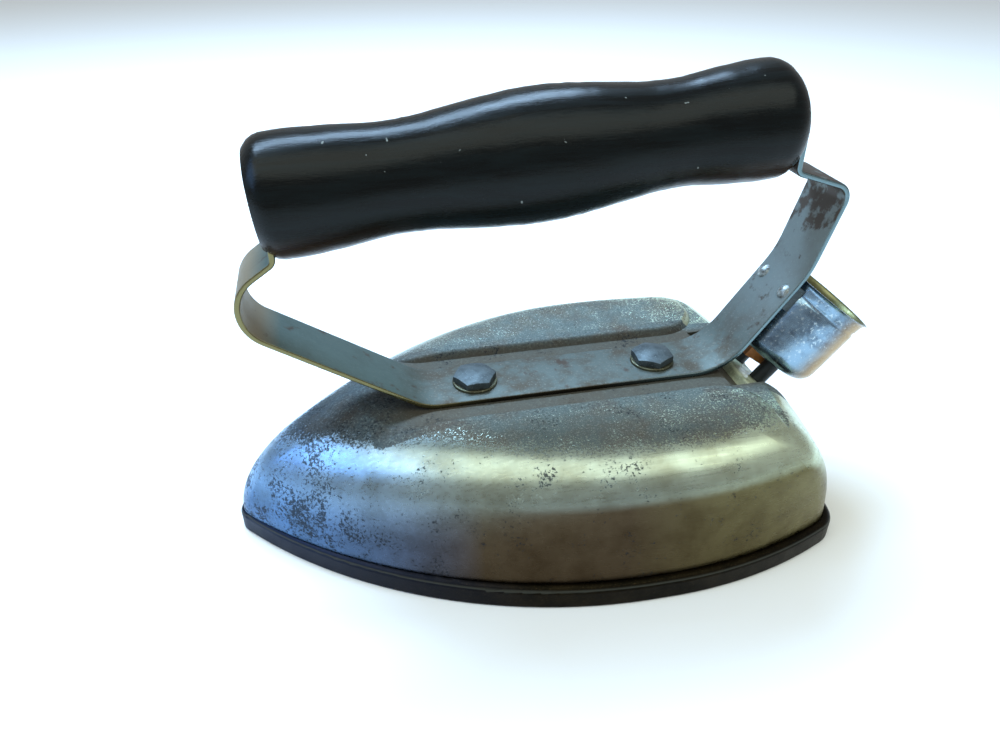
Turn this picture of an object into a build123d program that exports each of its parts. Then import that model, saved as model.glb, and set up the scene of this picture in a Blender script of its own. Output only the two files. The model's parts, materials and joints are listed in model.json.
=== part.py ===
from build123d import *

import os
from math import asin, atan2, cos, hypot, pi, radians, sin, sqrt, tan

# A flat electric clothes iron with a bent strap carrying a turned wooden handle.
#
# Units are millimetres. The origin is the middle of the ironing face: X runs from the toe (-X) to the
# heel (+X), the middle plane of the iron is Y = 0, and Z points up from the ironing face.

INCH = 25.4

# ---------------------------------------------------------------- driving dimensions
# sole plate
SOLE_LENGTH = 7 * INCH
SOLE_HALF_WIDTH = 55.2
TOE_X = -SOLE_LENGTH / 2
HEEL_X = SOLE_LENGTH / 2
WIDEST_X = 26.0
TOE_RADIUS = 6.0
HEEL_RADIUS = 190.0
REAR_SIDE_RADIUS = 172.0
HEEL_CORNER_RADIUS = 10.0
RIM_HEIGHT = 7.2
RIM_LIP_RADIUS = 1.9
IRONING_EDGE_RADIUS = 0.8
RABBET_FLOOR_Z = 5.6
SEAT_Z = 12.0

# cover
COVER_WALL = 1.0
FOOT_GAP = 0.15
SEAT_GAP = 1.6
COVER_INSET = 2.3
COVER_FOOT_Z = 5.6
COVER_TOP_Z = 42.6
COVER_DRAFT = 2.0
SHOULDER_RADIUS = 14.5
TOE_INSET = 0.9
NOSE_RUN = 56.0
NOSE_BLUNTING = 12.0
HEEL_RUN = 27.0
CHANNEL_FLOOR_Z = 40.3
CHANNEL_HALF_WIDTH = 16.0
CHANNEL_FRONT_X = -29.0
CHANNEL_REAR_X = 50.0
CHANNEL_FLARE = 14.0
CHANNEL_TAPER = -35
CHANNEL_LIP_RADIUS = 1.5
VALLEY_START = (58.0, 40.3)
VALLEY_SLOPE = 36.0
LEAD_OPENING = (11.0, 23.0)

# what lies between the sole plate and the cover
SHEET_INSET = 10.0
MICA_THICKNESS = 0.5
CARD_THICKNESS = 0.8
RIBBON_THICKNESS = 0.2
RIBBON_WIDTH = 2.4
RIBBON_PITCH = 7.0
RIBBON_FIRST_X = -58.0
RIBBON_TURNS = 17
RIBBON_END_GAP = 2.0
PRESSURE_PLATE_THICKNESS = 11.0
PRESSURE_PLATE_INSET = 14.0
LEAD_NOTCH = (50.0, 16.0)
LEAD_STRIP = (5.6, 0.4)
RETURN_WIDTH = 4.0
RETURN_TAB = 1.2
RETURN_TABS = (-58.0, 61.0)
RETURN_Y = -3.9
LEAD_REACH = 5.8
LEAD_GAP = 0.45
SHIELD_THICKNESS = 3.0
BOSS_DIAMETER = 16.0
PLATE_SCREW_SPOTS = ((-65.0, 0.0), (64.0, 24.0), (64.0, -24.0))
PLATE_SCREW_DIAMETER = 4.8
PLATE_SCREW_HEAD = (8.0, 3.2)
PLATE_SCREW_DEPTH = 7.0

# strap, bolts and washers
STRAP_WIDTH = 0.75 * INCH
STRAP_THICKNESS = INCH / 16
BOLT_XS = (-16.0, 39.2)
BOLT_ACROSS_FLATS = 7 / 16 * INCH
BOLT_HEAD_HEIGHT = 2.9
BOLT_DIAMETER = 0.25 * INCH
BOLT_TURNS = (0.0, 30.0)
BOLT_REACH = 15.0
WASHER_DIAMETER = 13.2
WASHER_THICKNESS = 0.8
HOLE_CLEARANCE = 0.2

# handle
HANDLE_FRONT = (-63.0, 102.2)
HANDLE_REAR = (64.6, 113.3)
FRONT_OVERHANG = 6.0
REAR_OVERHANG = 3.8
END_RADIUS = 15.4
WAIST_RADIUS = 13.75
BELLY_RADIUS = 16.8
WAIST_SPOTS = (0.23, 0.79)
HANDLE_END_ROUND = 6.5
SLOT_GAP = 0.15
HANDLE_PIN_DIAMETER = 2.6
HANDLE_PIN_LENGTH = 18.0
HANDLE_PIN_Y = 4.0
HANDLE_PIN_DROP = 4.0

# plug cup, which stands along the rear leg of the strap
CUP_FOOT_ALONG = 10.0
CUP_SKEW = 4.0
CUP_RADIUS = 15.5
CUP_DEPTH = 25.4
CUP_WALL = 0.8
CUP_FOOT_RADIUS = 4.5
CUP_LIP = 1.1
SADDLE_GAP = 0.5
STRAP_GAP = 0.2
SADDLE_SIZE = (17.0, 7.6)
RIVET_UP = 19.0
RIVET_HALF_SPACING = 6.4
RIVET_DIAMETER = 2.6
RIVET_HEAD = (4.4, 1.1)

# contact pins and what insulates them
PIN_DIAMETER = 3 / 16 * INCH
PIN_HALF_SPACING = 0.25 * INCH
PIN_TOP = 20.0
PIN_DISC = (10.6, 2.4)
STEM_DIAMETER = 2.6
STEM_FOOT = -19.2
SLEEVE_DIAMETER = 5.2
SLEEVE_FOOT = -9.0
FIBRE_BLOCK = (9.0, 6.8, 3.6)
PLATE_SIZE = (15.0, 27.0, 3.0)
PLATE_TOP = -8.2
PLATE_SHIFT = -3.0
NUT_SIZE = (5.5, 2.2)
NUT_UP = 1.0
FIT_GAP = 0.05

# the middle line of the strap in the XZ plane, as corners with a bend radius at each
STRAP_MID_Z = CHANNEL_FLOOR_Z + STRAP_THICKNESS / 2
STRAP_CORNERS = (
    ((-66.3, 99.0), None),
    ((-66.3, 88.7), 2.2),
    ((-85.2, 76.0), 10.5),
    ((-31.3, STRAP_MID_Z), 14.0),
    ((58.9, STRAP_MID_Z), 19.0),
    ((80.3, 70.9), 26.0),
    ((87.3, 95.6), 4.5),
    ((69.8, 101.3), 2.2),
    ((69.8, 110.0), None),
)
REAR_BEND = 4


ON_FLOOR = (Align.CENTER, Align.CENTER, Align.MIN)


# ---------------------------------------------------------------- shared outlines
def bow_angle(toe_x, half_width):
    """Radius of the bowed side from the widest point to the toe, and the angle that it turns."""
    reach = WIDEST_X - toe_x
    radius = (reach**2 + half_width**2) / (2 * half_width)
    return radius, 2 * atan2(half_width, reach)


def outline(toe_x, half_width, heel_x, nose_radius, corner_radius, level, rear_radius=REAR_SIDE_RADIUS):
    """One level of the iron: two bowed sides that meet at the toe, and a gently bowed heel."""
    angle = bow_angle(toe_x, half_width)[1]
    tip_x = toe_x - nose_radius * (1 / cos(pi / 2 - min(angle, pi / 2)) - 1)
    radius, angle = bow_angle(tip_x, half_width)
    side_mid = (WIDEST_X - radius * sin(angle / 2), half_width - radius * (1 - cos(angle / 2)))

    turn = asin((heel_x - WIDEST_X) / rear_radius)
    rear_mid = (WIDEST_X + rear_radius * sin(turn / 2), half_width - rear_radius * (1 - cos(turn / 2)))
    corner_y = half_width - rear_radius * (1 - cos(turn))
    corner_x = heel_x - corner_y**2 / (2 * HEEL_RADIUS)

    edges = [ThreePointArc((corner_x, corner_y), (heel_x, 0), (corner_x, -corner_y))]
    for side in (1, -1):
        widest = (WIDEST_X, side * half_width)
        edges.append(ThreePointArc((tip_x, 0), (side_mid[0], side * side_mid[1]), widest))
        edges.append(
            ThreePointArc(widest, (rear_mid[0], side * rear_mid[1]), (corner_x, side * corner_y))
        )
    face = make_face(edges)
    face = fillet(face.vertices().sort_by(Axis.X)[:1], nose_radius)
    face = fillet(face.vertices().sort_by(Axis.X)[-2:], corner_radius)
    return Pos(0, 0, level) * face


def sole_level(inset, level):
    """The sole plate's outline drawn in by an even inset."""
    return outline(
        TOE_X + inset,
        SOLE_HALF_WIDTH - inset,
        HEEL_X - inset,
        max(TOE_RADIUS - inset / 2, 3.0),
        max(HEEL_CORNER_RADIUS - inset / 2, 5.0),
        level,
    )


def foot_level(inset, level):
    """The outline of the foot of the cover's wall, drawn in by an even inset."""
    return outline(
        TOE_X + TOE_INSET + inset,
        SOLE_HALF_WIDTH - COVER_INSET - inset,
        HEEL_X - COVER_INSET - inset,
        TOE_RADIUS,
        HEEL_CORNER_RADIUS,
        level,
    )


def sheet(inset, low, thickness):
    """A flat sheet of the sole plate's shape."""
    return extrude(sole_level(inset, low), thickness, dir=(0, 0, 1))


def drill(x, y, low, high, diameter):
    return Pos(x, y, (low + high) / 2) * Cylinder(diameter / 2, high - low)


# ---------------------------------------------------------------- sole plate
def build_sole_plate():
    """Cast plate with a rounded rim, a rabbet that takes the cover's edge, and a raised seat."""
    rim = sheet(0, 0, RIM_HEIGHT)
    rim = fillet(rim.edges().group_by(Axis.Z)[-1], RIM_LIP_RADIUS)
    rim = fillet(rim.edges().group_by(Axis.Z)[0], IRONING_EDGE_RADIUS)
    rim -= extrude(foot_level(-FOOT_GAP, RABBET_FLOOR_Z), RIM_HEIGHT, dir=(0, 0, 1))
    seat_height = SEAT_Z - RABBET_FLOOR_Z + 1
    seat = foot_level(COVER_WALL + SEAT_GAP, RABBET_FLOOR_Z - 1)
    body = rim + extrude(seat, seat_height, dir=(0, 0, 1))
    for x, y in PLATE_SCREW_SPOTS:
        body -= drill(x, y, SEAT_Z - PLATE_SCREW_DEPTH, SEAT_Z + 1, PLATE_SCREW_DIAMETER)
    return body


# ---------------------------------------------------------------- cover
def cover_level(lift, inset):
    """The cover's outline at one height. lift runs from 0 at the foot of the wall to 1 at the top."""
    shoulder_z = COVER_TOP_Z - SHOULDER_RADIUS
    z = COVER_FOOT_Z + (COVER_TOP_Z - COVER_FOOT_Z) * lift
    draft = COVER_DRAFT * min(1.0, (z - COVER_FOOT_Z) / (shoulder_z - COVER_FOOT_Z))
    over = max(0.0, z - shoulder_z)
    round_in = SHOULDER_RADIUS - sqrt(max(0.0, SHOULDER_RADIUS**2 - over**2))
    slope = 1 - sqrt(max(0.0, 1 - lift**2))
    return outline(
        TOE_X + TOE_INSET + NOSE_RUN * slope + inset,
        SOLE_HALF_WIDTH - COVER_INSET - draft - round_in - inset,
        HEEL_X - COVER_INSET - HEEL_RUN * slope - inset,
        TOE_RADIUS + NOSE_BLUNTING * lift**2,
        HEEL_CORNER_RADIUS,
        z - inset * lift**4,
        REAR_SIDE_RADIUS * (1 + lift**2),
    )


def channel(inset):
    """The shallow channel for the strap, flaring at both ends, as a solid to cut away."""
    half = CHANNEL_HALF_WIDTH + inset
    front = CHANNEL_FRONT_X - CHANNEL_FLARE
    rear = CHANNEL_REAR_X + CHANNEL_FLARE
    wide = half + CHANNEL_FLARE
    side = [
        RadiusArc((front, wide), (CHANNEL_FRONT_X, half), -CHANNEL_FLARE),
        Line((CHANNEL_FRONT_X, half), (CHANNEL_REAR_X, half)),
        RadiusArc((CHANNEL_REAR_X, half), (rear, wide), -CHANNEL_FLARE),
    ]
    ends = [Line((front, wide), (front, -wide)), Line((rear, wide), (rear, -wide))]
    plan = make_face(side + [edge.mirror(Plane.XZ) for edge in side] + ends)
    beyond = 4 * SHOULDER_RADIUS
    for x in (front - beyond / 2, rear + beyond / 2):
        plan += Pos(x, 0) * Rectangle(beyond + 0.01, 8 * CHANNEL_FLARE)
    trough = extrude(Pos(0, 0, CHANNEL_FLOOR_Z - inset) * plan, 6 + inset, taper=CHANNEL_TAPER)
    return trough + valley(inset)


def valley(inset):
    """The channel's slope down towards the heel, where the leads come out."""
    x, z = VALLEY_START
    slope = radians(VALLEY_SLOPE)
    low = (x - inset * sin(slope), z - inset * cos(slope))
    run = 45.0
    corners = [
        low,
        (low[0] + run, low[1] - run * tan(slope)),
        (low[0] + run, z + 8),
        (low[0] - 8 / tan(slope), z + 8),
    ]
    return extrude(Plane.XZ * make_face(Polyline(*corners, close=True)), CHANNEL_HALF_WIDTH + inset, both=True)


def cover_form(inset):
    """The cover's outer form, or its inner form when inset is the wall thickness."""
    rise = COVER_TOP_Z - COVER_FOOT_Z
    shoulder = 1 - SHOULDER_RADIUS / rise
    lifts = [shoulder * part / 6 for part in range(6)]
    lifts += [shoulder + (1 - shoulder) * sin(radians(angle)) for angle in range(0, 91, 15)]
    form = loft([cover_level(lift, inset) for lift in lifts]) - channel(inset)
    if inset:
        return form
    pads = form.faces().filter_by(Axis.Z).group_by(Axis.Z)[-1]
    lips = [edge for edge in pads.edges() if abs(edge.center().Y) < CHANNEL_HALF_WIDTH + CHANNEL_FLARE]
    return fillet(lips, CHANNEL_LIP_RADIUS)


def build_cover():
    """Pressed shell with a channel for the strap, two bolt holes and an opening for the leads."""
    shell = cover_form(0) - cover_form(COVER_WALL)
    for x in BOLT_XS:
        shell -= drill(x, 0, CHANNEL_FLOOR_Z - 3, CHANNEL_FLOOR_Z + 3, BOLT_DIAMETER + 2 * HOLE_CLEARANCE)
    hole = extrude(RectangleRounded(*LEAD_OPENING, 3), 12, both=True)
    return shell - plate_plane().location * hole


# ---------------------------------------------------------------- heating stack
def build_mica(low):
    """A mica sheet, cleared round the clamp screws."""
    mica = sheet(SHEET_INSET, low, MICA_THICKNESS)
    for x, y in PLATE_SCREW_SPOTS:
        mica -= drill(x, y, low - 1, low + 2, PLATE_SCREW_DIAMETER + 1)
    return mica


def build_element_card(low):
    """The mica card that the heating ribbon is wound on."""
    card = sheet(SHEET_INSET + 3, low, CARD_THICKNESS)
    for x, y in PLATE_SCREW_SPOTS:
        card -= drill(x, y, low - 1, low + 2, PLATE_SCREW_DIAMETER + 2)
    for x in RETURN_TABS:
        card -= Pos(x, RETURN_Y, low) * Box(RETURN_TAB + 0.2, RETURN_WIDTH + 0.2, 4)
    return card


def card_half_width(x):
    """Half the width of the winding at one place along the card."""
    half = SOLE_HALF_WIDTH - SHEET_INSET - 3
    radius = bow_angle(TOE_X + SHEET_INSET + 3, half)[0] if x < WIDEST_X else REAR_SIDE_RADIUS
    return half - radius + sqrt(radius**2 - (x - WIDEST_X) ** 2) - RIBBON_END_GAP


def build_heating_ribbon(low):
    """Flat ribbon wound across the card: strips on its upper face, joined at alternate ends."""
    spots = [RIBBON_FIRST_X + RIBBON_PITCH * turn for turn in range(RIBBON_TURNS)]
    ribbon = None
    for turn, x in enumerate(spots):
        half = card_half_width(x)
        strip = Pos(x, 0, low) * Box(RIBBON_WIDTH, 2 * half, RIBBON_THICKNESS, align=ON_FLOOR)
        ribbon = strip if ribbon is None else ribbon + strip
        if turn + 1 < len(spots):
            side = 1 if turn % 2 else -1
            end = side * (min(half, card_half_width(spots[turn + 1])) - RIBBON_WIDTH / 2)
            link = Box(RIBBON_PITCH, RIBBON_WIDTH, RIBBON_THICKNESS, align=ON_FLOOR)
            ribbon += Pos(x + RIBBON_PITCH / 2, end, low) * link
    return ribbon


def build_return_strip(card):
    """Strip under the card that brings the far end of the ribbon back to the heel."""
    front, rear = RETURN_TABS
    middle, length = (front + rear) / 2, rear - front + RETURN_TAB
    strip = Pos(middle, RETURN_Y, card - RIBBON_THICKNESS) * Box(
        length, RETURN_WIDTH, RIBBON_THICKNESS, align=ON_FLOOR
    )
    height = RIBBON_THICKNESS + CARD_THICKNESS
    for x in RETURN_TABS:
        tab = Box(RETURN_TAB, RETURN_WIDTH, height, align=ON_FLOOR)
        strip += Pos(x, RETURN_Y, card - RIBBON_THICKNESS) * tab
    return strip


def build_lead_strips(card):
    """Two strips, each from above a stem's nut to the heating ribbon or the return strip."""
    width, thickness = LEAD_STRIP
    along, outward = leg_directions()
    card_top = card + CARD_THICKNESS
    feet = (
        (RIBBON_FIRST_X + RIBBON_PITCH * (RIBBON_TURNS - 1), card_top + RIBBON_THICKNESS),
        (RETURN_TABS[1], card_top),
    )
    leads = []
    for y, (foot_x, foot_z) in zip(pin_ys(), feet):
        nut_top = cup_plane().location * Pos(0, y, STEM_FOOT + NUT_UP + NUT_SIZE[1])
        middle = nut_top.position + along * (LEAD_GAP + thickness / 2)
        start = middle + outward * (width / 2)
        bend = middle - outward * LEAD_REACH
        path = Polyline(
            (start.X, start.Z),
            (bend.X, bend.Z),
            (foot_x + 4, foot_z + thickness / 2),
            (foot_x - 2, foot_z + thickness / 2),
        )
        lead = Pos(0, middle.Y, 0) * extrude(Plane.XZ * trace(path, thickness), width / 2, both=True)
        leads.append(lead - nut_top * Cylinder(STEM_DIAMETER / 2 + LEAD_GAP, 8))
    return Compound(children=leads)


def build_pressure_plate(low):
    """Cast plate that clamps the heating stack, with two bosses that carry the cover and strap."""
    plate = sheet(PRESSURE_PLATE_INSET, low, PRESSURE_PLATE_THICKNESS)
    for x in BOLT_XS:
        plate += drill(x, 0, low + 1, CHANNEL_FLOOR_Z - COVER_WALL, BOSS_DIAMETER)
        plate -= drill(x, 0, strap_top() - BOLT_REACH - 2, CHANNEL_FLOOR_Z, BOLT_DIAMETER)
    for x, y in PLATE_SCREW_SPOTS:
        plate -= drill(x, y, low - 1, low + 20, PLATE_SCREW_DIAMETER + 2 * HOLE_CLEARANCE)
    return plate - lead_notch(low)


def lead_notch(low):
    """Room at the heel end for the leads and the lower ends of the pin stems."""
    start, half = LEAD_NOTCH
    return Pos(start + 30, 0, low - 1) * Box(60, 2 * half, 60, align=ON_FLOOR)


def build_plate_screws(low):
    """Hexagon screws that draw the pressure plate down on the heating stack."""
    across, height = PLATE_SCREW_HEAD
    top = low + PRESSURE_PLATE_THICKNESS
    screws = []
    for x, y in PLATE_SCREW_SPOTS:
        head = extrude(Pos(x, y, top) * RegularPolygon(across / 2, 6, major_radius=False), height)
        shank = drill(x, y, SEAT_Z - PLATE_SCREW_DEPTH + 1, top + 1, PLATE_SCREW_DIAMETER)
        screws.append(head + shank)
    return Compound(children=screws)


def build_heat_shield(low):
    """Millboard sheet on the pressure plate, cleared round the bosses and the clamp screws."""
    shield = sheet(PRESSURE_PLATE_INSET + 2, low, SHIELD_THICKNESS)
    for x in BOLT_XS:
        shield -= drill(x, 0, low - 1, low + 5, BOSS_DIAMETER + 2)
    for x, y in PLATE_SCREW_SPOTS:
        shield -= drill(x, y, low - 1, low + 5, PLATE_SCREW_HEAD[0] * 1.4)
    return shield - lead_notch(low)


# ---------------------------------------------------------------- strap, bolts and washers
def strap_top():
    return CHANNEL_FLOOR_Z + STRAP_THICKNESS


def strap_form(gap=0.0):
    """The bent strap before drilling, or the room it needs when gap is above 0."""
    points = [corner for corner, bend in STRAP_CORNERS]
    bends = [bend for corner, bend in STRAP_CORNERS if bend]
    path = FilletPolyline(*points, radius=bends)
    side = trace(path, STRAP_THICKNESS + 2 * gap)
    return extrude(Plane.XZ * side, STRAP_WIDTH / 2 + gap, both=True)


def build_handle_strap():
    """Flat steel strap bent up at both ends, each end turned up into the handle."""
    strap = strap_form()
    for x in BOLT_XS:
        strap -= drill(x, 0, CHANNEL_FLOOR_Z - 1, strap_top() + 1, BOLT_DIAMETER + 2 * HOLE_CLEARANCE)
    for rod in rivet_rods(RIVET_DIAMETER + 2 * HOLE_CLEARANCE):
        strap -= rod
    for pin in handle_pin_rods():
        strap -= pin
    return strap


def build_strap_bolts():
    """Two hexagon-headed bolts with a chamfered, slightly domed head."""
    seat = strap_top() + WASHER_THICKNESS
    bolts = []
    for x, turn in zip(BOLT_XS, BOLT_TURNS):
        hexagon = Rot(0, 0, turn) * RegularPolygon(BOLT_ACROSS_FLATS / 2, 6, major_radius=False)
        head = extrude(Pos(x, 0, seat) * hexagon, BOLT_HEAD_HEIGHT)
        dome_radius = 22.0
        dome = Pos(x, 0, seat + BOLT_HEAD_HEIGHT - dome_radius) * Sphere(dome_radius)
        shank = drill(x, 0, seat - BOLT_REACH, seat + 1, BOLT_DIAMETER)
        bolts.append((head & dome) + shank)
    return Compound(children=bolts)


def build_bolt_washers():
    """Two plain washers under the bolt heads."""
    rings = []
    for x in BOLT_XS:
        low, high = strap_top(), strap_top() + WASHER_THICKNESS
        ring = drill(x, 0, low, high, WASHER_DIAMETER)
        ring = fillet(ring.edges().group_by(Axis.Z)[-1], 0.35)
        rings.append(ring - drill(x, 0, low - 1, high + 1, BOLT_DIAMETER + 2 * HOLE_CLEARANCE))
    return Compound(children=rings)


# ---------------------------------------------------------------- handle
def handle_plane():
    """A plane at the handle's front end, with its normal along the handle."""
    run = HANDLE_REAR[0] - HANDLE_FRONT[0]
    rise = HANDLE_REAR[1] - HANDLE_FRONT[1]
    length = hypot(run, rise)
    along = (run / length, 0, rise / length)
    start = (
        HANDLE_FRONT[0] - FRONT_OVERHANG * along[0],
        0,
        HANDLE_FRONT[1] - FRONT_OVERHANG * along[2],
    )
    return Plane(origin=start, x_dir=(0, 1, 0), z_dir=along), length + FRONT_OVERHANG + REAR_OVERHANG


def build_handle():
    """Turned wooden handle: swollen ends, two waists and a belly, slotted below for the tongues."""
    plane, length = handle_plane()
    first, second = (length * spot for spot in WAIST_SPOTS)
    belly = (first + second) / 2
    line = Spline(
        (END_RADIUS - 0.7, 0),
        (END_RADIUS, 0.3 * first),
        (WAIST_RADIUS, first),
        (BELLY_RADIUS, belly),
        (WAIST_RADIUS, second),
        (END_RADIUS, length - 0.4 * (length - second)),
        (END_RADIUS - 0.5, length),
    )
    rim = [Line((0, 0), (END_RADIUS - 0.7, 0)), line, Line((END_RADIUS - 0.5, length), (0, length))]
    profile = make_face(rim + [Line((0, length), (0, 0))])
    wood = revolve(Plane.XZ * profile, Axis.Z)
    ends = wood.edges().filter_by(GeomType.CIRCLE).sort_by(Axis.Z)
    wood = fillet([ends[0], ends[-1]], HANDLE_END_ROUND)
    wood = plane.location * wood
    wood -= strap_form(SLOT_GAP)
    for x, z in tongue_tops():
        wood -= Pos(x, 0, z) * Box(STRAP_THICKNESS + 2 * SLOT_GAP, STRAP_WIDTH + 2 * SLOT_GAP, 1)
    for pin in handle_pin_rods():
        wood -= pin
    return wood


def tongue_tops():
    return [STRAP_CORNERS[0][0], STRAP_CORNERS[-1][0]]


def handle_pin_rods():
    """Pins driven in from the far side, through the handle and both tongues."""
    rod = Rot(90, 0, 0) * Cylinder(HANDLE_PIN_DIAMETER / 2, HANDLE_PIN_LENGTH)
    return [Pos(x, HANDLE_PIN_Y, z - HANDLE_PIN_DROP) * rod for x, z in tongue_tops()]


def build_handle_pins():
    return Compound(children=handle_pin_rods())


# ---------------------------------------------------------------- plug cup
def leg_directions():
    """Unit vectors along the rear leg of the strap and outward from its rear face."""
    start, end = STRAP_CORNERS[REAR_BEND][0], STRAP_CORNERS[REAR_BEND + 1][0]
    along = Vector(end[0] - start[0], 0, end[1] - start[1]).normalized()
    return along, Vector(along.Z, 0, -along.X)


def cup_plane(skew=CUP_SKEW):
    """A plane at the cup's foot, its normal along the cup and its X away from the strap."""
    along, outward = leg_directions()
    corner = STRAP_CORNERS[REAR_BEND][0]
    stand_off = STRAP_THICKNESS / 2 + SADDLE_GAP + CUP_RADIUS
    pivot = Vector(corner[0], 0, corner[1]) + along * (CUP_FOOT_ALONG + RIVET_UP) + outward * stand_off
    normal = along * cos(radians(skew)) - Vector(0, sin(radians(skew)), 0)
    return Plane(origin=pivot - normal * RIVET_UP, x_dir=outward, z_dir=normal)


def in_cup_frame(solids):
    """The solids, each carried to the cup's place, as one group."""
    return Compound(children=[cup_plane().location * solid for solid in solids])


def rivet_rods(diameter):
    """Rods on the two rivet axes, through the strap, the saddle and the cup's wall."""
    reach = CUP_RADIUS + SADDLE_GAP + STRAP_THICKNESS
    rods = []
    for y in (RIVET_HALF_SPACING, -RIVET_HALF_SPACING):
        rod = Rot(0, -90, 0) * Cylinder(diameter / 2, reach, align=ON_FLOOR)
        rods.append(cup_plane().location * Pos(0, y, RIVET_UP) * rod)
    return rods


def build_plug_cup():
    """Pressed cup with a rounded foot and a turned-out lip, open at the top for the plug."""
    radius = CUP_RADIUS
    outer = [
        Line((0, 0), (radius - CUP_FOOT_RADIUS, 0)),
        RadiusArc((radius - CUP_FOOT_RADIUS, 0), (radius, CUP_FOOT_RADIUS), -CUP_FOOT_RADIUS),
        Line((radius, CUP_FOOT_RADIUS), (radius, CUP_DEPTH - 2 * CUP_LIP)),
        Line((radius, CUP_DEPTH - 2 * CUP_LIP), (radius + CUP_LIP, CUP_DEPTH)),
        Line((radius + CUP_LIP, CUP_DEPTH), (0, CUP_DEPTH)),
        Line((0, CUP_DEPTH), (0, 0)),
    ]
    bore = radius - CUP_WALL
    inner_foot = CUP_FOOT_RADIUS - CUP_WALL
    inner = [
        Line((0, CUP_WALL), (bore - inner_foot, CUP_WALL)),
        RadiusArc((bore - inner_foot, CUP_WALL), (bore, CUP_FOOT_RADIUS), -inner_foot),
        Line((bore, CUP_FOOT_RADIUS), (bore, CUP_DEPTH - 2 * CUP_LIP)),
        Line((bore, CUP_DEPTH - 2 * CUP_LIP), (bore + CUP_LIP, CUP_DEPTH)),
        Line((bore + CUP_LIP, CUP_DEPTH), (bore + CUP_LIP, CUP_DEPTH + 1)),
        Line((bore + CUP_LIP, CUP_DEPTH + 1), (0, CUP_DEPTH + 1)),
        Line((0, CUP_DEPTH + 1), (0, CUP_WALL)),
    ]
    cup = revolve(Plane.XZ * make_face(outer), Axis.Z) - revolve(Plane.XZ * make_face(inner), Axis.Z)
    for y in pin_ys():
        cup -= Pos(0, y, 0) * Cylinder(SLEEVE_DIAMETER / 2, 4)
    strap_side = CUP_RADIUS + SADDLE_GAP - STRAP_GAP
    cup -= Pos(-strap_side - 5, 0, CUP_DEPTH / 2) * Box(10, 4 * CUP_RADIUS, 2 * CUP_DEPTH)
    cup = cup_plane().location * cup
    for rod in rivet_rods(RIVET_DIAMETER + 2 * HOLE_CLEARANCE):
        cup -= rod
    return cup


def build_cup_saddle():
    """Formed packing between the flat strap and the round cup."""
    width, height = SADDLE_SIZE
    thickness = CUP_RADIUS + SADDLE_GAP
    block = Pos(-thickness / 2, 0, RIVET_UP) * Box(thickness, width, height)
    block -= Pos(0, 0, RIVET_UP) * Cylinder(CUP_RADIUS, 2 * height)
    saddle = cup_plane().location * block
    for rod in rivet_rods(RIVET_DIAMETER + 2 * HOLE_CLEARANCE):
        saddle -= rod
    return saddle


def build_cup_rivets():
    """Two rivets with a round head on the strap and a flat head inside the cup."""
    head_radius, head_height = RIVET_HEAD[0] / 2, RIVET_HEAD[1]
    face = CUP_RADIUS + SADDLE_GAP + STRAP_THICKNESS
    rivets = []
    for y in (RIVET_HALF_SPACING, -RIVET_HALF_SPACING):
        ball_radius = (head_radius**2 + head_height**2) / (2 * head_height)
        ball = Pos(-face - head_height + ball_radius, y, RIVET_UP) * Sphere(ball_radius)
        slab = Pos(-face - head_height / 2, y, RIVET_UP) * Box(head_height, 10, 10)
        inner_wall = sqrt((CUP_RADIUS - CUP_WALL) ** 2 - (RIVET_HALF_SPACING - RIVET_DIAMETER) ** 2)
        length = face - inner_wall + 1.4
        rod = Rot(0, 90, 0) * Cylinder(RIVET_DIAMETER / 2, length, align=ON_FLOOR)
        rivets.append((ball & slab) + Pos(-face, y, RIVET_UP) * rod)
    return in_cup_frame(rivets)


# ---------------------------------------------------------------- contact pins
def pin_ys():
    return (PIN_HALF_SPACING, -PIN_HALF_SPACING)


def build_contact_pins():
    """Two round-ended contact pins, each with a thinner stem that runs down into the iron."""
    pins = []
    disc_top = CUP_WALL + PIN_DISC[1]
    for y in pin_ys():
        pin = Pos(0, y, disc_top) * Cylinder(PIN_DIAMETER / 2, PIN_TOP - disc_top, align=ON_FLOOR)
        pin = fillet(pin.edges().group_by(Axis.Z)[-1], PIN_DIAMETER / 2 - 0.6)
        stem = Pos(0, y, STEM_FOOT) * Cylinder(STEM_DIAMETER / 2, disc_top - STEM_FOOT + 1, align=ON_FLOOR)
        pins.append(pin + stem)
    return in_cup_frame(pins)


def build_pin_disc():
    """Moulded disc in the cup's foot that holds the two pins apart."""
    radius, thickness = PIN_DISC
    disc = Pos(0, 0, CUP_WALL) * Cylinder(radius, thickness, align=ON_FLOOR)
    for y in pin_ys():
        disc -= Pos(0, y, 0) * Cylinder(STEM_DIAMETER / 2 + FIT_GAP, 20)
    return cup_plane().location * disc


def build_fibre_block():
    """Fibre block under the cup, between the two sleeves."""
    length, width, height = FIBRE_BLOCK
    block = Pos(-length / 2 + 1, 0, -height) * Box(length, width, height, align=ON_FLOOR)
    for y in pin_ys():
        block -= Pos(0, y, 0) * Cylinder(SLEEVE_DIAMETER / 2 + FIT_GAP, 30)
    return cup_plane().location * block


def build_pin_sleeves():
    """Two insulating sleeves round the stems, from the cup's disc down to the terminal plate."""
    length, width, height = PLATE_SIZE
    below_plate_top = plate_plane().location * Pos(0, 0, FIT_GAP - height) * Box(
        length, width, height, align=ON_FLOOR
    )
    sleeves = []
    for y in pin_ys():
        tube = Pos(0, y, SLEEVE_FOOT) * Cylinder(
            SLEEVE_DIAMETER / 2 - FIT_GAP, CUP_WALL - SLEEVE_FOOT, align=ON_FLOOR
        )
        tube -= Pos(0, y, 0) * Cylinder(STEM_DIAMETER / 2 + FIT_GAP, 60)
        sleeves.append(cup_plane().location * tube - below_plate_top)
    return Compound(children=sleeves)


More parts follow.
